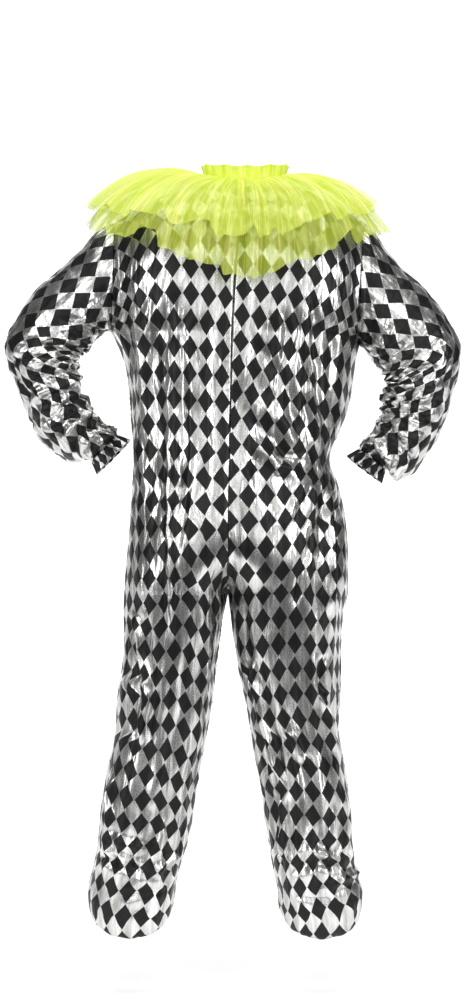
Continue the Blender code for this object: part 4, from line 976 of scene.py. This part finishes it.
def panel_normals(surface):
    """Unit normals of a side's back and front, turned to each other's middle along the seams where
    they meet: the side seam below the yoke, and the inside leg."""
    normal = {}
    for face, points in surface.items():
        found = grid_normals(points)
        normal[face] = found * np.sign(np.sum(found[:, :, 1]) * face)
    place = np.linspace(0, 1, PANEL_COLUMNS + 1)
    below_yoke = np.arange(len(surface[1])) >= YOKE_ROWS
    legs = surface[1][:, 0, 2] < CROTCH_Z
    for column, rows, from_seam in ((-1, below_yoke, 1 - place), (0, legs, place)):
        middle = unit(normal[1][rows, column] + normal[-1][rows, column])
        near = np.clip(1 - from_seam / SEAM_BLEND, 0, 1)[None, :, None]
        for face in surface:
            change = (middle - normal[face][rows, column])[:, None]
            normal[face][rows] = unit(normal[face][rows] + near * change)
    return normal


def panel_height(points, side, face):
    """How far each place of a panel stands out: waves and creases that lie flat at the seams, so that
    edges meet, a soft ridge along the seams, and the stitches' puckers and sink."""
    along = lengths(points)
    to_side = along[:, -1:] - along
    z = points[:, :, 2]
    row = np.arange(len(z))[:, None]
    in_yoke, from_top = row < YOKE_ROWS, np.clip(row / YOKE_ROWS, 0, 1)
    height = cloth_waves(face * to_side / PANEL_TURN, z, side)
    height = height * np.where(in_yoke, eased(to_side, 0, YOKE_FADE), 1)
    height += body_creases(points, face) * eased(to_side, *SIDE_FADE)
    height *= eased(along, 0, CENTRE_FADE) * eased(from_top, 0, TOP_FADE)
    puff = np.minimum(np.where(in_yoke, to_side, 1), along + np.where(z < CROTCH_Z, 1, 0))
    height += ridge(puff, *SEAM_PUFF) * eased(from_top, 0, PUFF_TOP_FADE)
    seam = np.minimum(along, to_side)
    stitches = np.sin(z / PUCKER_LENGTH + 3 * np.sin(z / PUCKER_DRIFT))
    return height + stitches * ridge(seam, *SEAM_PUCKER) + ridge(seam, *SEAM_SINK)


def zip_opening(z):
    """Half the gap that shows the zip's coil, down its length."""
    return ZIP_GAP * eased(z, ZIP_BOTTOM_Z, ZIP_BOTTOM_Z + ZIP_GAP_EASE)


def body_panels():
    """Side, face, creased points and smooth points of the four panels."""
    for side in (1, -1):
        surface = {face: panel_surface(side, face) for face in (1, -1)}
        normal = panel_normals(surface)
        for face, points in surface.items():
            creased = points + normal[face] * panel_height(points, side, face)[:, :, None]
            if face > 0:
                gap = zip_opening(points[:, :1, 2]) * bump(lengths(points), ZIP_GAP_REACH)
                creased[:, :, 0] += side * gap
            yield side, face, creased, points


def print_pulls(base, side):
    """How far the print is drawn across and along a panel: a parabola through the table's three places
    at each height, by the share of the way from the inner edge to the side."""
    x = base[:, :, 0]
    reach = np.max(side * x, axis=1, keepdims=True) * side
    share = np.clip((x - x[:, :1]) / (reach - x[:, :1]), 0, 1)
    weights = (1 - share) * (1 - 2 * share), 4 * share * (1 - share), share * (2 * share - 1)
    pulls, z = PRINT_PULLS[side], base[:, :, 2]
    places = tuple(zip(("_in", "_mid", "_out"), weights))
    return (
        sum(through(z, pulls["z"], pulls[way + place]) * weight for place, weight in places)
        for way in ("across", "down")
    )


class MakeBody(bpy.types.Operator):
    """Make the four creased body panels"""

    bl_idname = "jumpsuit.body"
    bl_label = "Body panels"

    def execute(self, context):
        sizes = context.scene.jumpsuit_cloth
        finish = material("creased_harlequin_foil", harlequin_cloth, sizes)
        for side, face, points, base in body_panels():
            across, down = body_coordinates(points, base, side)
            pull_across, pull_down = print_pulls(base, side)
            uv = np.stack([side * face * across + face * pull_across, down + pull_down], axis=2)
            name = PANEL_NAMES[side, face]
            flip = side * face > 0
            piece = cloth_piece(name, points, uv, finish, flip, wall=sizes.wall)
            width, area = float(lengths(base)[:, -1].max()), sheet_area(points)
        return {"FINISHED"}


# --- Sleeves ----------------------------------------------------------------------------------------


def sleeve_surface(side):
    """Smooth rings of a sleeve from the armhole to its elastic, each an oval from the underarm round
    by the front. The first rings are drawn onto the armhole."""
    rows = SLEEVES[side]
    keys = np.linspace(0, 1, len(rows["mid_y"]))
    along = np.linspace(0, 1, SLEEVE_ROWS + 1)
    at = {name: through(along, keys, column)[:, None] for name, column in rows.items()}
    angle = np.pi + np.linspace(0, 2 * np.pi, SLEEVE_COLUMNS + 1)[None, :]
    middle_x, middle_z = (at["outer_x"] + at["inner_x"]) / 2, (at["outer_z"] + at["inner_z"]) / 2
    x = middle_x + (at["outer_x"] - at["inner_x"]) / 2 * np.cos(angle)
    z = middle_z + (at["outer_z"] - at["inner_z"]) / 2 * np.cos(angle)
    y = at["mid_y"] + at["half_depth"] * np.sin(angle)
    rings = np.stack(np.broadcast_arrays(x, y, z), axis=2)
    face = np.where(np.sin(angle[0]) >= 0, 1, -1)
    first = armhole(side, face, 1 - np.arccos(np.clip(np.cos(angle[0]), -1, 1)) / np.pi)
    near = (1 - eased(along, 0, ARMHOLE_BLEND))[:, None, None]
    return rings + near * (first - rings[0])


def crush(share):
    """How crushed a sleeve is at this share of its length."""
    eases = 1 - CRUSH_LOSS * eased(share, CRUSH_EASES, CRUSH_EASED)
    return eased(share, CRUSH_START, CRUSH_FULL) * eases


def sleeve_waves(place, down, total, side):
    """Unevenness of a sleeve: soft swellings above the elbow, and crushed, sharp-edged ones from there
    to the wrist, most on the inside of the bend."""
    turn, seed = place / 2, SLEEVE_SEEDS[side]
    inside = (1 + np.cos(2 * np.pi * turn)) / 2
    crushed = crush(down / total) * (CRUSH_OUTSIDE + (1 - CRUSH_OUTSIDE) * inside)
    sway = swaying(turn, down, seed, *SLEEVE_SWAY)
    waves = 0.0
    for k, (kind, height, more, cells, length, aside, below) in enumerate(SLEEVE_LAYERS, 1):
        layer = kind(turn * cells + aside * sway, down / length + below * sway, cells, seed + k)
        waves = waves + (height + crushed * more) * layer
    return waves


def sleeve_skew(place, down, total, side):
    """How far the crushed cloth's print is drawn across and down, in metres."""
    skew = SLEEVE_SKEW * crush(down / total)
    return (skew * swaying(place / 2, down, SKEW_SEEDS[side] + k, 1, SKEW_CELLS, SKEW_LENGTH) for k in (0, 1))


class MakeSleeves(bpy.types.Operator):
    """Make the two sleeves, crushed from the elbow to the wrist"""

    bl_idname = "jumpsuit.sleeves"
    bl_label = "Sleeves"

    def execute(self, context):
        sizes = context.scene.jumpsuit_cloth
        finish = material("creased_harlequin_foil", harlequin_cloth, sizes)
        for side, word in ((1, "left"), (-1, "right")):
            rings = sleeve_surface(side)
            wide = np.concatenate([rings[:, -2:-1], rings, rings[:, 1:2]], axis=1)
            normal = grid_normals(wide)[:, 1:-1]
            middle = rings[:, :-1].mean(axis=1)
            normal *= np.sign(np.sum(normal * (rings - middle[:, None])))
            place, down = np.meshgrid(np.linspace(0, 2, SLEEVE_COLUMNS + 1), lengths(middle[None])[0])
            girth, total = lengths(rings)[:, -1:], down[-1, 0]
            height = sleeve_creases(place, down, girth, side) + sleeve_waves(place, down, total, side)
            height *= eased(down, 0, ARMHOLE_FADE) * eased(total - down, 0, WRIST_FADE)
            height += ridge(down, *SLEEVE_PUFF) + ridge(down, *SEAM_SINK)
            points = rings + normal * height[:, :, None]
            across, length = arm_coordinates(points, rings, side)
            pulls, keys = SLEEVE_PULLS[side], ("across", "more", "down")
            pull, more, pull_down = (through(down, pulls["at"], pulls[key]) for key in keys)
            skew, skew_down = sleeve_skew(place, down, total, side)
            across = across + pull + more * np.cos(np.pi * place) + skew
            uv = np.stack([across, length + pull_down + skew_down], axis=2)
            name, flip = "sleeve_" + word, side > 0
            piece = cloth_piece(name, points, uv, finish, flip, True, sizes.wall)
            area, width = sheet_area(points), float(girth.mean())
        return {"FINISHED"}


# --- Cuffs and ankles -------------------------------------------------------------------------------


def gathered_tube(start, way, wide, deep, length, flare, gathers, wave, rows=14, samples=12):
    """A gathered edge: ovals about a line, with waves that grow from the first ring to the last. Their
    crests drift a little round the edge, and a wave of half their length makes them uneven.

    Returns its points, and the distance round and along for its map.
    """
    share = np.linspace(0, 1, rows + 1)[:, None]
    angle = np.linspace(0, 2 * np.pi, samples * gathers + 1)[None, :]
    uneven = 0.5 * np.sin(3 * angle + 1.0) + 0.3 * np.sin(5 * angle)
    ripple = np.sin(gathers * angle + uneven) + 0.25 * np.sin(2 * gathers * angle + 2 * uneven)
    grown = 1 + (flare * share + wave * (0.35 + 0.65 * share) * ripple) / np.linalg.norm(wide)
    ring = np.cos(angle)[:, :, None] * wide + np.sin(angle)[:, :, None] * deep
    points = start + way * (length * share)[:, :, None] + grown[:, :, None] * ring
    around = angle / (2 * np.pi) * GATHERED_FULLNESS * lengths(points)[0, -1]
    return points, np.stack(np.broadcast_arrays(around, length * (share - 0.5)), axis=2)


class MakeCuffs(bpy.types.Operator):
    """Make the cuff frills and the ankle casings"""

    bl_idname = "jumpsuit.cuffs"
    bl_label = "Cuffs and ankles"

    def execute(self, context):
        sizes = context.scene.jumpsuit_cloth
        finish = material("creased_harlequin_foil", harlequin_cloth, sizes)
        for side, word in ((1, "left"), (-1, "right")):
            end = {name: column[-1] for name, column in SLEEVES[side].items()}
            outer, inner = (
                np.array([end[edge + "_x"], end["mid_y"], end[edge + "_z"]]) for edge in ("outer", "inner")
            )
            wide, deep = (outer - inner) / 2, np.array([0, end["half_depth"], 0])
            way = unit(np.cross(wide, deep))
            way *= np.sign(-way[2])
            tube = (outer + inner) / 2, way, wide, deep, CUFF_LENGTH, CUFF_FLARE, CUFF_GATHERS, CUFF_WAVE
            self.make_tube("cuff_" + word, tube, finish, sizes.wall)
            low, high = (np.array(corner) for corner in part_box("ankle_" + word))
            middle, half = (low + high) / 2, (high - low) / 2 - CASING_WAVE
            across, back, up = np.diag([half[0], half[1], 1.0])
            tube = middle - half[2] * up, up, across, back, CASING_HEIGHT, 0.0, CASING_GATHERS, CASING_WAVE
            self.make_tube("ankle_" + word, tube, finish, sizes.wall)
        return {"FINISHED"}

    @staticmethod
    def make_tube(node, tube, finish, wall):
        """One gathered tube, its faces outwards."""
        points, uv = gathered_tube(*tube)
        flip = np.sum(grid_normals(points) * (points - points.mean(axis=1, keepdims=True))) < 0
        piece = cloth_piece(node, points, uv, finish, flip, True, wall)
        width = float(lengths(points)[-1, -1])
        length = float(np.linalg.norm(points[-1] - points[0], axis=1).mean())


# --- Neck and ruff ----------------------------------------------------------------------------------


def round_neck(columns, split):
    """Directions round the neck from its split at the back, as a row."""
    return np.radians(np.linspace(90 + split, 450 - split, columns + 1))[None, :]


def neckline(azimuth, out, rise):
    """Points in these directions from the neck's middle, moved out from the neckline and up by these
    distances."""
    at_back = np.sin(azimuth) > 0
    reach, drop = np.where(at_back, NECK_BACK, NECK_FRONT), np.where(at_back, NECK_DROP_BACK, NECK_DROP_FRONT)
    x, y = (NECK_HALF_WIDTH + out) * np.cos(azimuth), (reach + out) * np.sin(azimuth)
    return np.stack(np.broadcast_arrays(x, y, rise - drop * np.sin(azimuth) ** 2), axis=2)


def band_surface():
    """The neck band: it stands straight up from the neckline, with fine gathers that fade to its edges."""
    azimuth, share = round_neck(BAND_COLUMNS, NECK_SPLIT), np.linspace(0, 1, BAND_ROWS + 1)[:, None]
    ripple = BAND_RIPPLE * np.sin(BAND_RIPPLES * azimuth) * np.sin(np.pi * share)
    return neckline(azimuth, ripple - BAND_INSET, BAND_RISE + BAND_HEIGHT * share)


def heading_surface(samples=16, rows=17):
    """The frill above the band: it leans out as it rises, and its waves grow and drift."""
    azimuth = round_neck(samples * HEADING_GATHERS, NECK_SPLIT)
    share = np.linspace(-HEADING_TUCK, 1, rows + 1)[:, None]
    phase = np.linspace(0, 2 * np.pi * HEADING_GATHERS, azimuth.size)[None, :]
    phase = phase + 0.8 * np.sin(4 * azimuth) + 0.5 * share * np.sin(9 * azimuth)
    rise = np.maximum(share, 0)
    out = HEADING_OUT + HEADING_LEAN * rise**1.5 + (HEADING_OUT + HEADING_WAVE * rise) * np.sin(phase)
    out = out + HEADING_FINE_WAVE * rise * np.sin(2.3 * phase)
    top = HEADING_HEIGHT * (0.94 + 0.06 * np.sin(phase * 0.5 + 1))
    return neckline(azimuth, out, BAND_HEIGHT + HEADING_RISE + top * share)


def plain_map(points):
    """Distances round the last row and up the first column."""
    return np.stack(np.broadcast_arrays(lengths(points)[-1], lengths(points[:, :1].swapaxes(0, 1)).T), axis=2)


def hem_points(turn, seed):
    """How much shorter than its full length each strand of a ruff is, as a share: uneven saw teeth
    with a long side and a short one, and small nicks."""

    def uneven(cells, step):
        return noise(turn * cells, 0 * turn, cells, seed + step)

    tips = (turn * RUFF_TIPS + 0.9 * uneven(16, 7)) % 1
    tips = np.minimum(tips / TIP_LONG_SIDE, (1 - tips) / (1 - TIP_LONG_SIDE))
    nicks = abs((turn * RUFF_NICKS + 0.7 * uneven(31, 9)) % 1 - 0.5)
    return TIP_DEPTH * tips * (0.55 + 0.60 * uneven(17, 8)) - TIP_LIFT + NICK_DEPTH * nicks


def ruff_surface(base, length_name, lift, hem_wave, seed, rows=56, samples=22):
    """A gathered layer from the band to its hem, and its map.

    Each strand bends evenly from its start angle towards its hem angle. Its displacement is a sum of the
    hem's waves, which grow outwards, narrow pleats with sharp crests that run out from the band, and
    unevenness. The strands' lengths swing between two limits, so the hem runs in points.
    """
    azimuth = round_neck(samples * RUFF_GATHERS, RUFF_SPLIT)
    keys = np.concatenate([RUFF["azimuth"] + turn for turn in (-360, 0, 360, 720)])
    at = {name: through(np.degrees(azimuth), keys, np.tile(column, 4)) for name, column in RUFF.items()}
    t = np.linspace(0, 1, rows + 1)[:, None]
    turn = (azimuth - azimuth[0, 0]) / (2 * np.pi)
    full = at["lower_length"]
    along = at[length_name] * t * (1 - hem_points(turn, seed) * t**2)
    share = along / full
    start, bend = np.radians(at["start_angle"] + lift), np.radians(at["hem_angle"] - at["start_angle"])
    slope = start + bend * share
    out, up = full * (np.sin(slope) - np.sin(start)) / bend, full * (np.cos(start) - np.cos(slope)) / bend

    def uneven(kind, cells, pace, step, drift=0):
        return kind(turn * cells + drift, share * pace, cells, seed + step)

    phase = np.linspace(0, 2 * np.pi * RUFF_GATHERS, azimuth.size)[None, :] + RUFF_DRIFT * np.sin(3 * azimuth)
    tall = 1 + RUFF_UNEVENNESS * np.sin(5 * azimuth) + RUFF_WAVER * uneven(noise, 26, 1.5, 1)
    wave = hem_wave * tall * np.sqrt(share) * np.sin(phase + 0.9 * uneven(noise, 40, 2.2, 0))
    pleats = RUFF_PLEAT * uneven(folded_noise, RUFF_PLEATS, 1.3, 2, 0.6 * uneven(noise, 24, 2.0, 4))
    fine = RUFF_FINE_PLEAT * uneven(folded_noise, RUFF_FINE_PLEATS, 3.0, 3, share)
    wave = wave - (pleats + fine) * np.sqrt(np.clip(share * 8, 0, 1)) * (1 - 0.45 * share)
    points = neckline(azimuth, RUFF_OUT + out - wave * np.sin(slope), base + up + wave * np.cos(slope))
    return points, np.stack(np.broadcast_arrays(lengths(points)[-1], along), axis=2)


class MakeNeck(bpy.types.Operator):
    """Make the neck band, its heading and the two layers of ruff"""

    bl_idname = "jumpsuit.neck"
    bl_label = "Neck and ruff"

    def execute(self, context):
        sizes = context.scene.jumpsuit_ruff
        finish = material("sheer_lime_organza", organza, sizes)
        doubled = material("doubled_lime_organza", organza, sizes, DOUBLED_COVER)
        band, heading = band_surface(), heading_surface()
        self.make_sheet("neck_band", band, plain_map(band), doubled)
        self.make_sheet("neck_heading", heading, plain_map(heading), doubled)
        # Blender gives a setting back in single precision, so it is rounded to the micrometre.
        wave = round(sizes.wave, 6)
        lower = ruff_surface(LOWER_RUFF_Z, "lower_length", 0, wave, 3)
        self.make_sheet("ruff_lower", *lower, finish)
        upper = ruff_surface(UPPER_RUFF_Z, "upper_length", RUFF_LIFT, wave, 5)
        self.make_sheet("ruff_upper", *upper, finish)
        return {"FINISHED"}

    @staticmethod
    def make_sheet(node, points, uv, finish):
        """One gathered sheet, its faces up and outwards."""
        flip = np.sum(grid_normals(points) * (points * (1, 1, 0) + (0, 0, 0.3))) < 0
        piece = cloth_piece(node, points, uv, finish, flip)
        width, area = float(lengths(points)[-1, -1]), sheet_area(points)


class MakeZip(bpy.types.Operator):
    """Finish the zip's tape, slider and pull"""

    bl_idname = "jumpsuit.zip"
    bl_label = "Zip"

    def execute(self, context):
        tape = material("black_tape_weave", plain_material, (0.012, 0.012, 0.012, 1), 0.6)
        paint = (0.03, 0.03, 0.03, 1), 0.32, 0.9, 500.0, 0.00005
        metal = material("painted_black_metal", plain_material, *paint)
        for name, finish in (("zip_tape", tape), ("zip_slider", metal), ("zip_pull", metal)):
            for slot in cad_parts[name].material_slots:
                slot.material = finish
        return {"FINISHED"}


# --- Stage ------------------------------------------------------------------------------------------

# Lamps: name, place, what it looks at, width and height in metres, and power in watts.
LAMPS = (
    ("overhead_softbox", (0.2, 2.9, 1.3), (0, 0, -0.4), 2.4, 1.1, 23),
    ("front_fill", (0.0, 4.3, -0.25), (0, 0, -0.3), 3.6, 1.3, 21),
    ("left_strip", (2.4, 2.3, 0.0), (0, 0, -0.6), 0.8, 2.4, 34),
    ("right_strip", (-2.4, 2.3, 0.0), (0, 0, -0.6), 0.8, 2.4, 38),
    ("top_softbox", (0.0, 0.3, 2.2), (0, 0, -0.2), 2.4, 1.6, 52),
    ("backdrop_softbox", (0.0, -5.2, 5.0), (0, WALL_Y, -0.5), 7.0, 2.2, 430),
)
FLOOR_GREY, FLOOR_GLOW, WORLD_GLOW = 0.93, 0.42, 0.10


class MakeStage(bpy.types.Operator):
    """Make the floor, lights, world and camera"""

    bl_idname = "jumpsuit.stage"
    bl_label = "Stage"

    def execute(self, context):
        sizes = context.scene.jumpsuit_stage
        self.make_floor(sizes.floor_z)
        self.make_world(context.scene)
        for lamp in LAMPS:
            self.make_softbox(*lamp)
        data = bpy.data.cameras.new("studio_camera")
        data.sensor_width = SENSOR_WIDTH
        data.lens = data.sensor_width * sizes.distance / sizes.seen_height
        camera = bpy.data.objects.new("studio_camera", data)
        camera.location = (CAMERA_X, sizes.distance, CAMERA_Z)
        camera.rotation_euler = (np.pi / 2, 0, np.pi)
        context.scene.collection.objects.link(camera)
        context.scene.camera = camera
        return {"FINISHED"}

    @staticmethod
    def make_floor(z):
        """A sweep: level floor that turns up into a wall behind the garment, along a quarter circle."""
        turn = np.linspace(0, np.pi / 2, 24)
        y = np.concatenate([[FLOOR_FRONT_Y], WALL_Y + SWEEP_RADIUS * (1 - np.sin(turn)), [WALL_Y]])
        height = np.concatenate([[0.0], SWEEP_RADIUS * (1 - np.cos(turn)), [WALL_HEIGHT]])
        x = np.linspace(-FLOOR_HALF_WIDTH, FLOOR_HALF_WIDTH, 9)
        points = np.stack(np.broadcast_arrays(x, y[:, None], z + height[:, None]), axis=2)[:, ::-1]
        floor = grid_mesh("floor", points, points[:, :, :2])
        finish = material("pale_floor", plain_material, (FLOOR_GREY, FLOOR_GREY, FLOOR_GREY, 1), 0.7)
        shader = finish.node_tree.nodes["Principled BSDF"]
        shader.inputs["Emission Color"].default_value = (1, 1, 1, 1)
        shader.inputs["Emission Strength"].default_value = FLOOR_GLOW
        floor.data.materials.append(finish)

    @staticmethod
    def make_world(scene):
        """An even white world behind a standard view."""
        world = scene.world = bpy.data.worlds.new("studio")
        world.use_nodes = True
        background = world.node_tree.nodes["Background"]
        background.inputs["Color"].default_value = (1, 1, 1, 1)
        background.inputs["Strength"].default_value = WORLD_GLOW
        scene.view_settings.view_transform = "Standard"

    @staticmethod
    def make_softbox(name, place, target, width, height, power):
        """A flat lamp that faces its target."""
        data = bpy.data.lights.new(name, "AREA")
        data.shape, data.size, data.size_y, data.energy = "RECTANGLE", width, height, power
        light = bpy.data.objects.new(name, data)
        light.location = place
        light.rotation_euler = (Vector(target) - Vector(place)).to_track_quat("-Z", "Y").to_euler()
        bpy.context.scene.collection.objects.link(light)


class JumpsuitPanel(bpy.types.Panel):
    """Lists the steps that make the jumpsuit's looks"""

    bl_idname = "VIEW3D_PT_jumpsuit"
    bl_label = "Jumpsuit"
    bl_space_type = "VIEW_3D"
    bl_region_type = "UI"
    bl_category = "Jumpsuit"

    def draw(self, context):
        for group in ("jumpsuit_cloth", "jumpsuit_ruff", "jumpsuit_stage"):
            settings = getattr(context.scene, group)
            for name in settings.__annotations__:
                self.layout.prop(settings, name)
        for operator in OPERATORS:
            self.layout.operator(operator.bl_idname)


SETTINGS = {"jumpsuit_cloth": ClothSizes, "jumpsuit_ruff": RuffSizes, "jumpsuit_stage": StageSizes}
OPERATORS = (MakeNeck, MakeBody, MakeSleeves, MakeCuffs, MakeZip, MakeStage)


def register():
    for item in (*SETTINGS.values(), *OPERATORS, JumpsuitPanel):
        bpy.utils.register_class(item)
    for name, group in SETTINGS.items():
        setattr(bpy.types.Scene, name, bpy.props.PointerProperty(type=group))


def unregister():
    for name in SETTINGS:
        delattr(bpy.types.Scene, name)
    for item in reversed((*SETTINGS.values(), *OPERATORS, JumpsuitPanel)):
        bpy.utils.unregister_class(item)


def main():
    register()
    for operator in OPERATORS:
        group, name = operator.bl_idname.split(".")
        getattr(getattr(bpy.ops, group), name)()


if __name__ == "__main__":
    main()
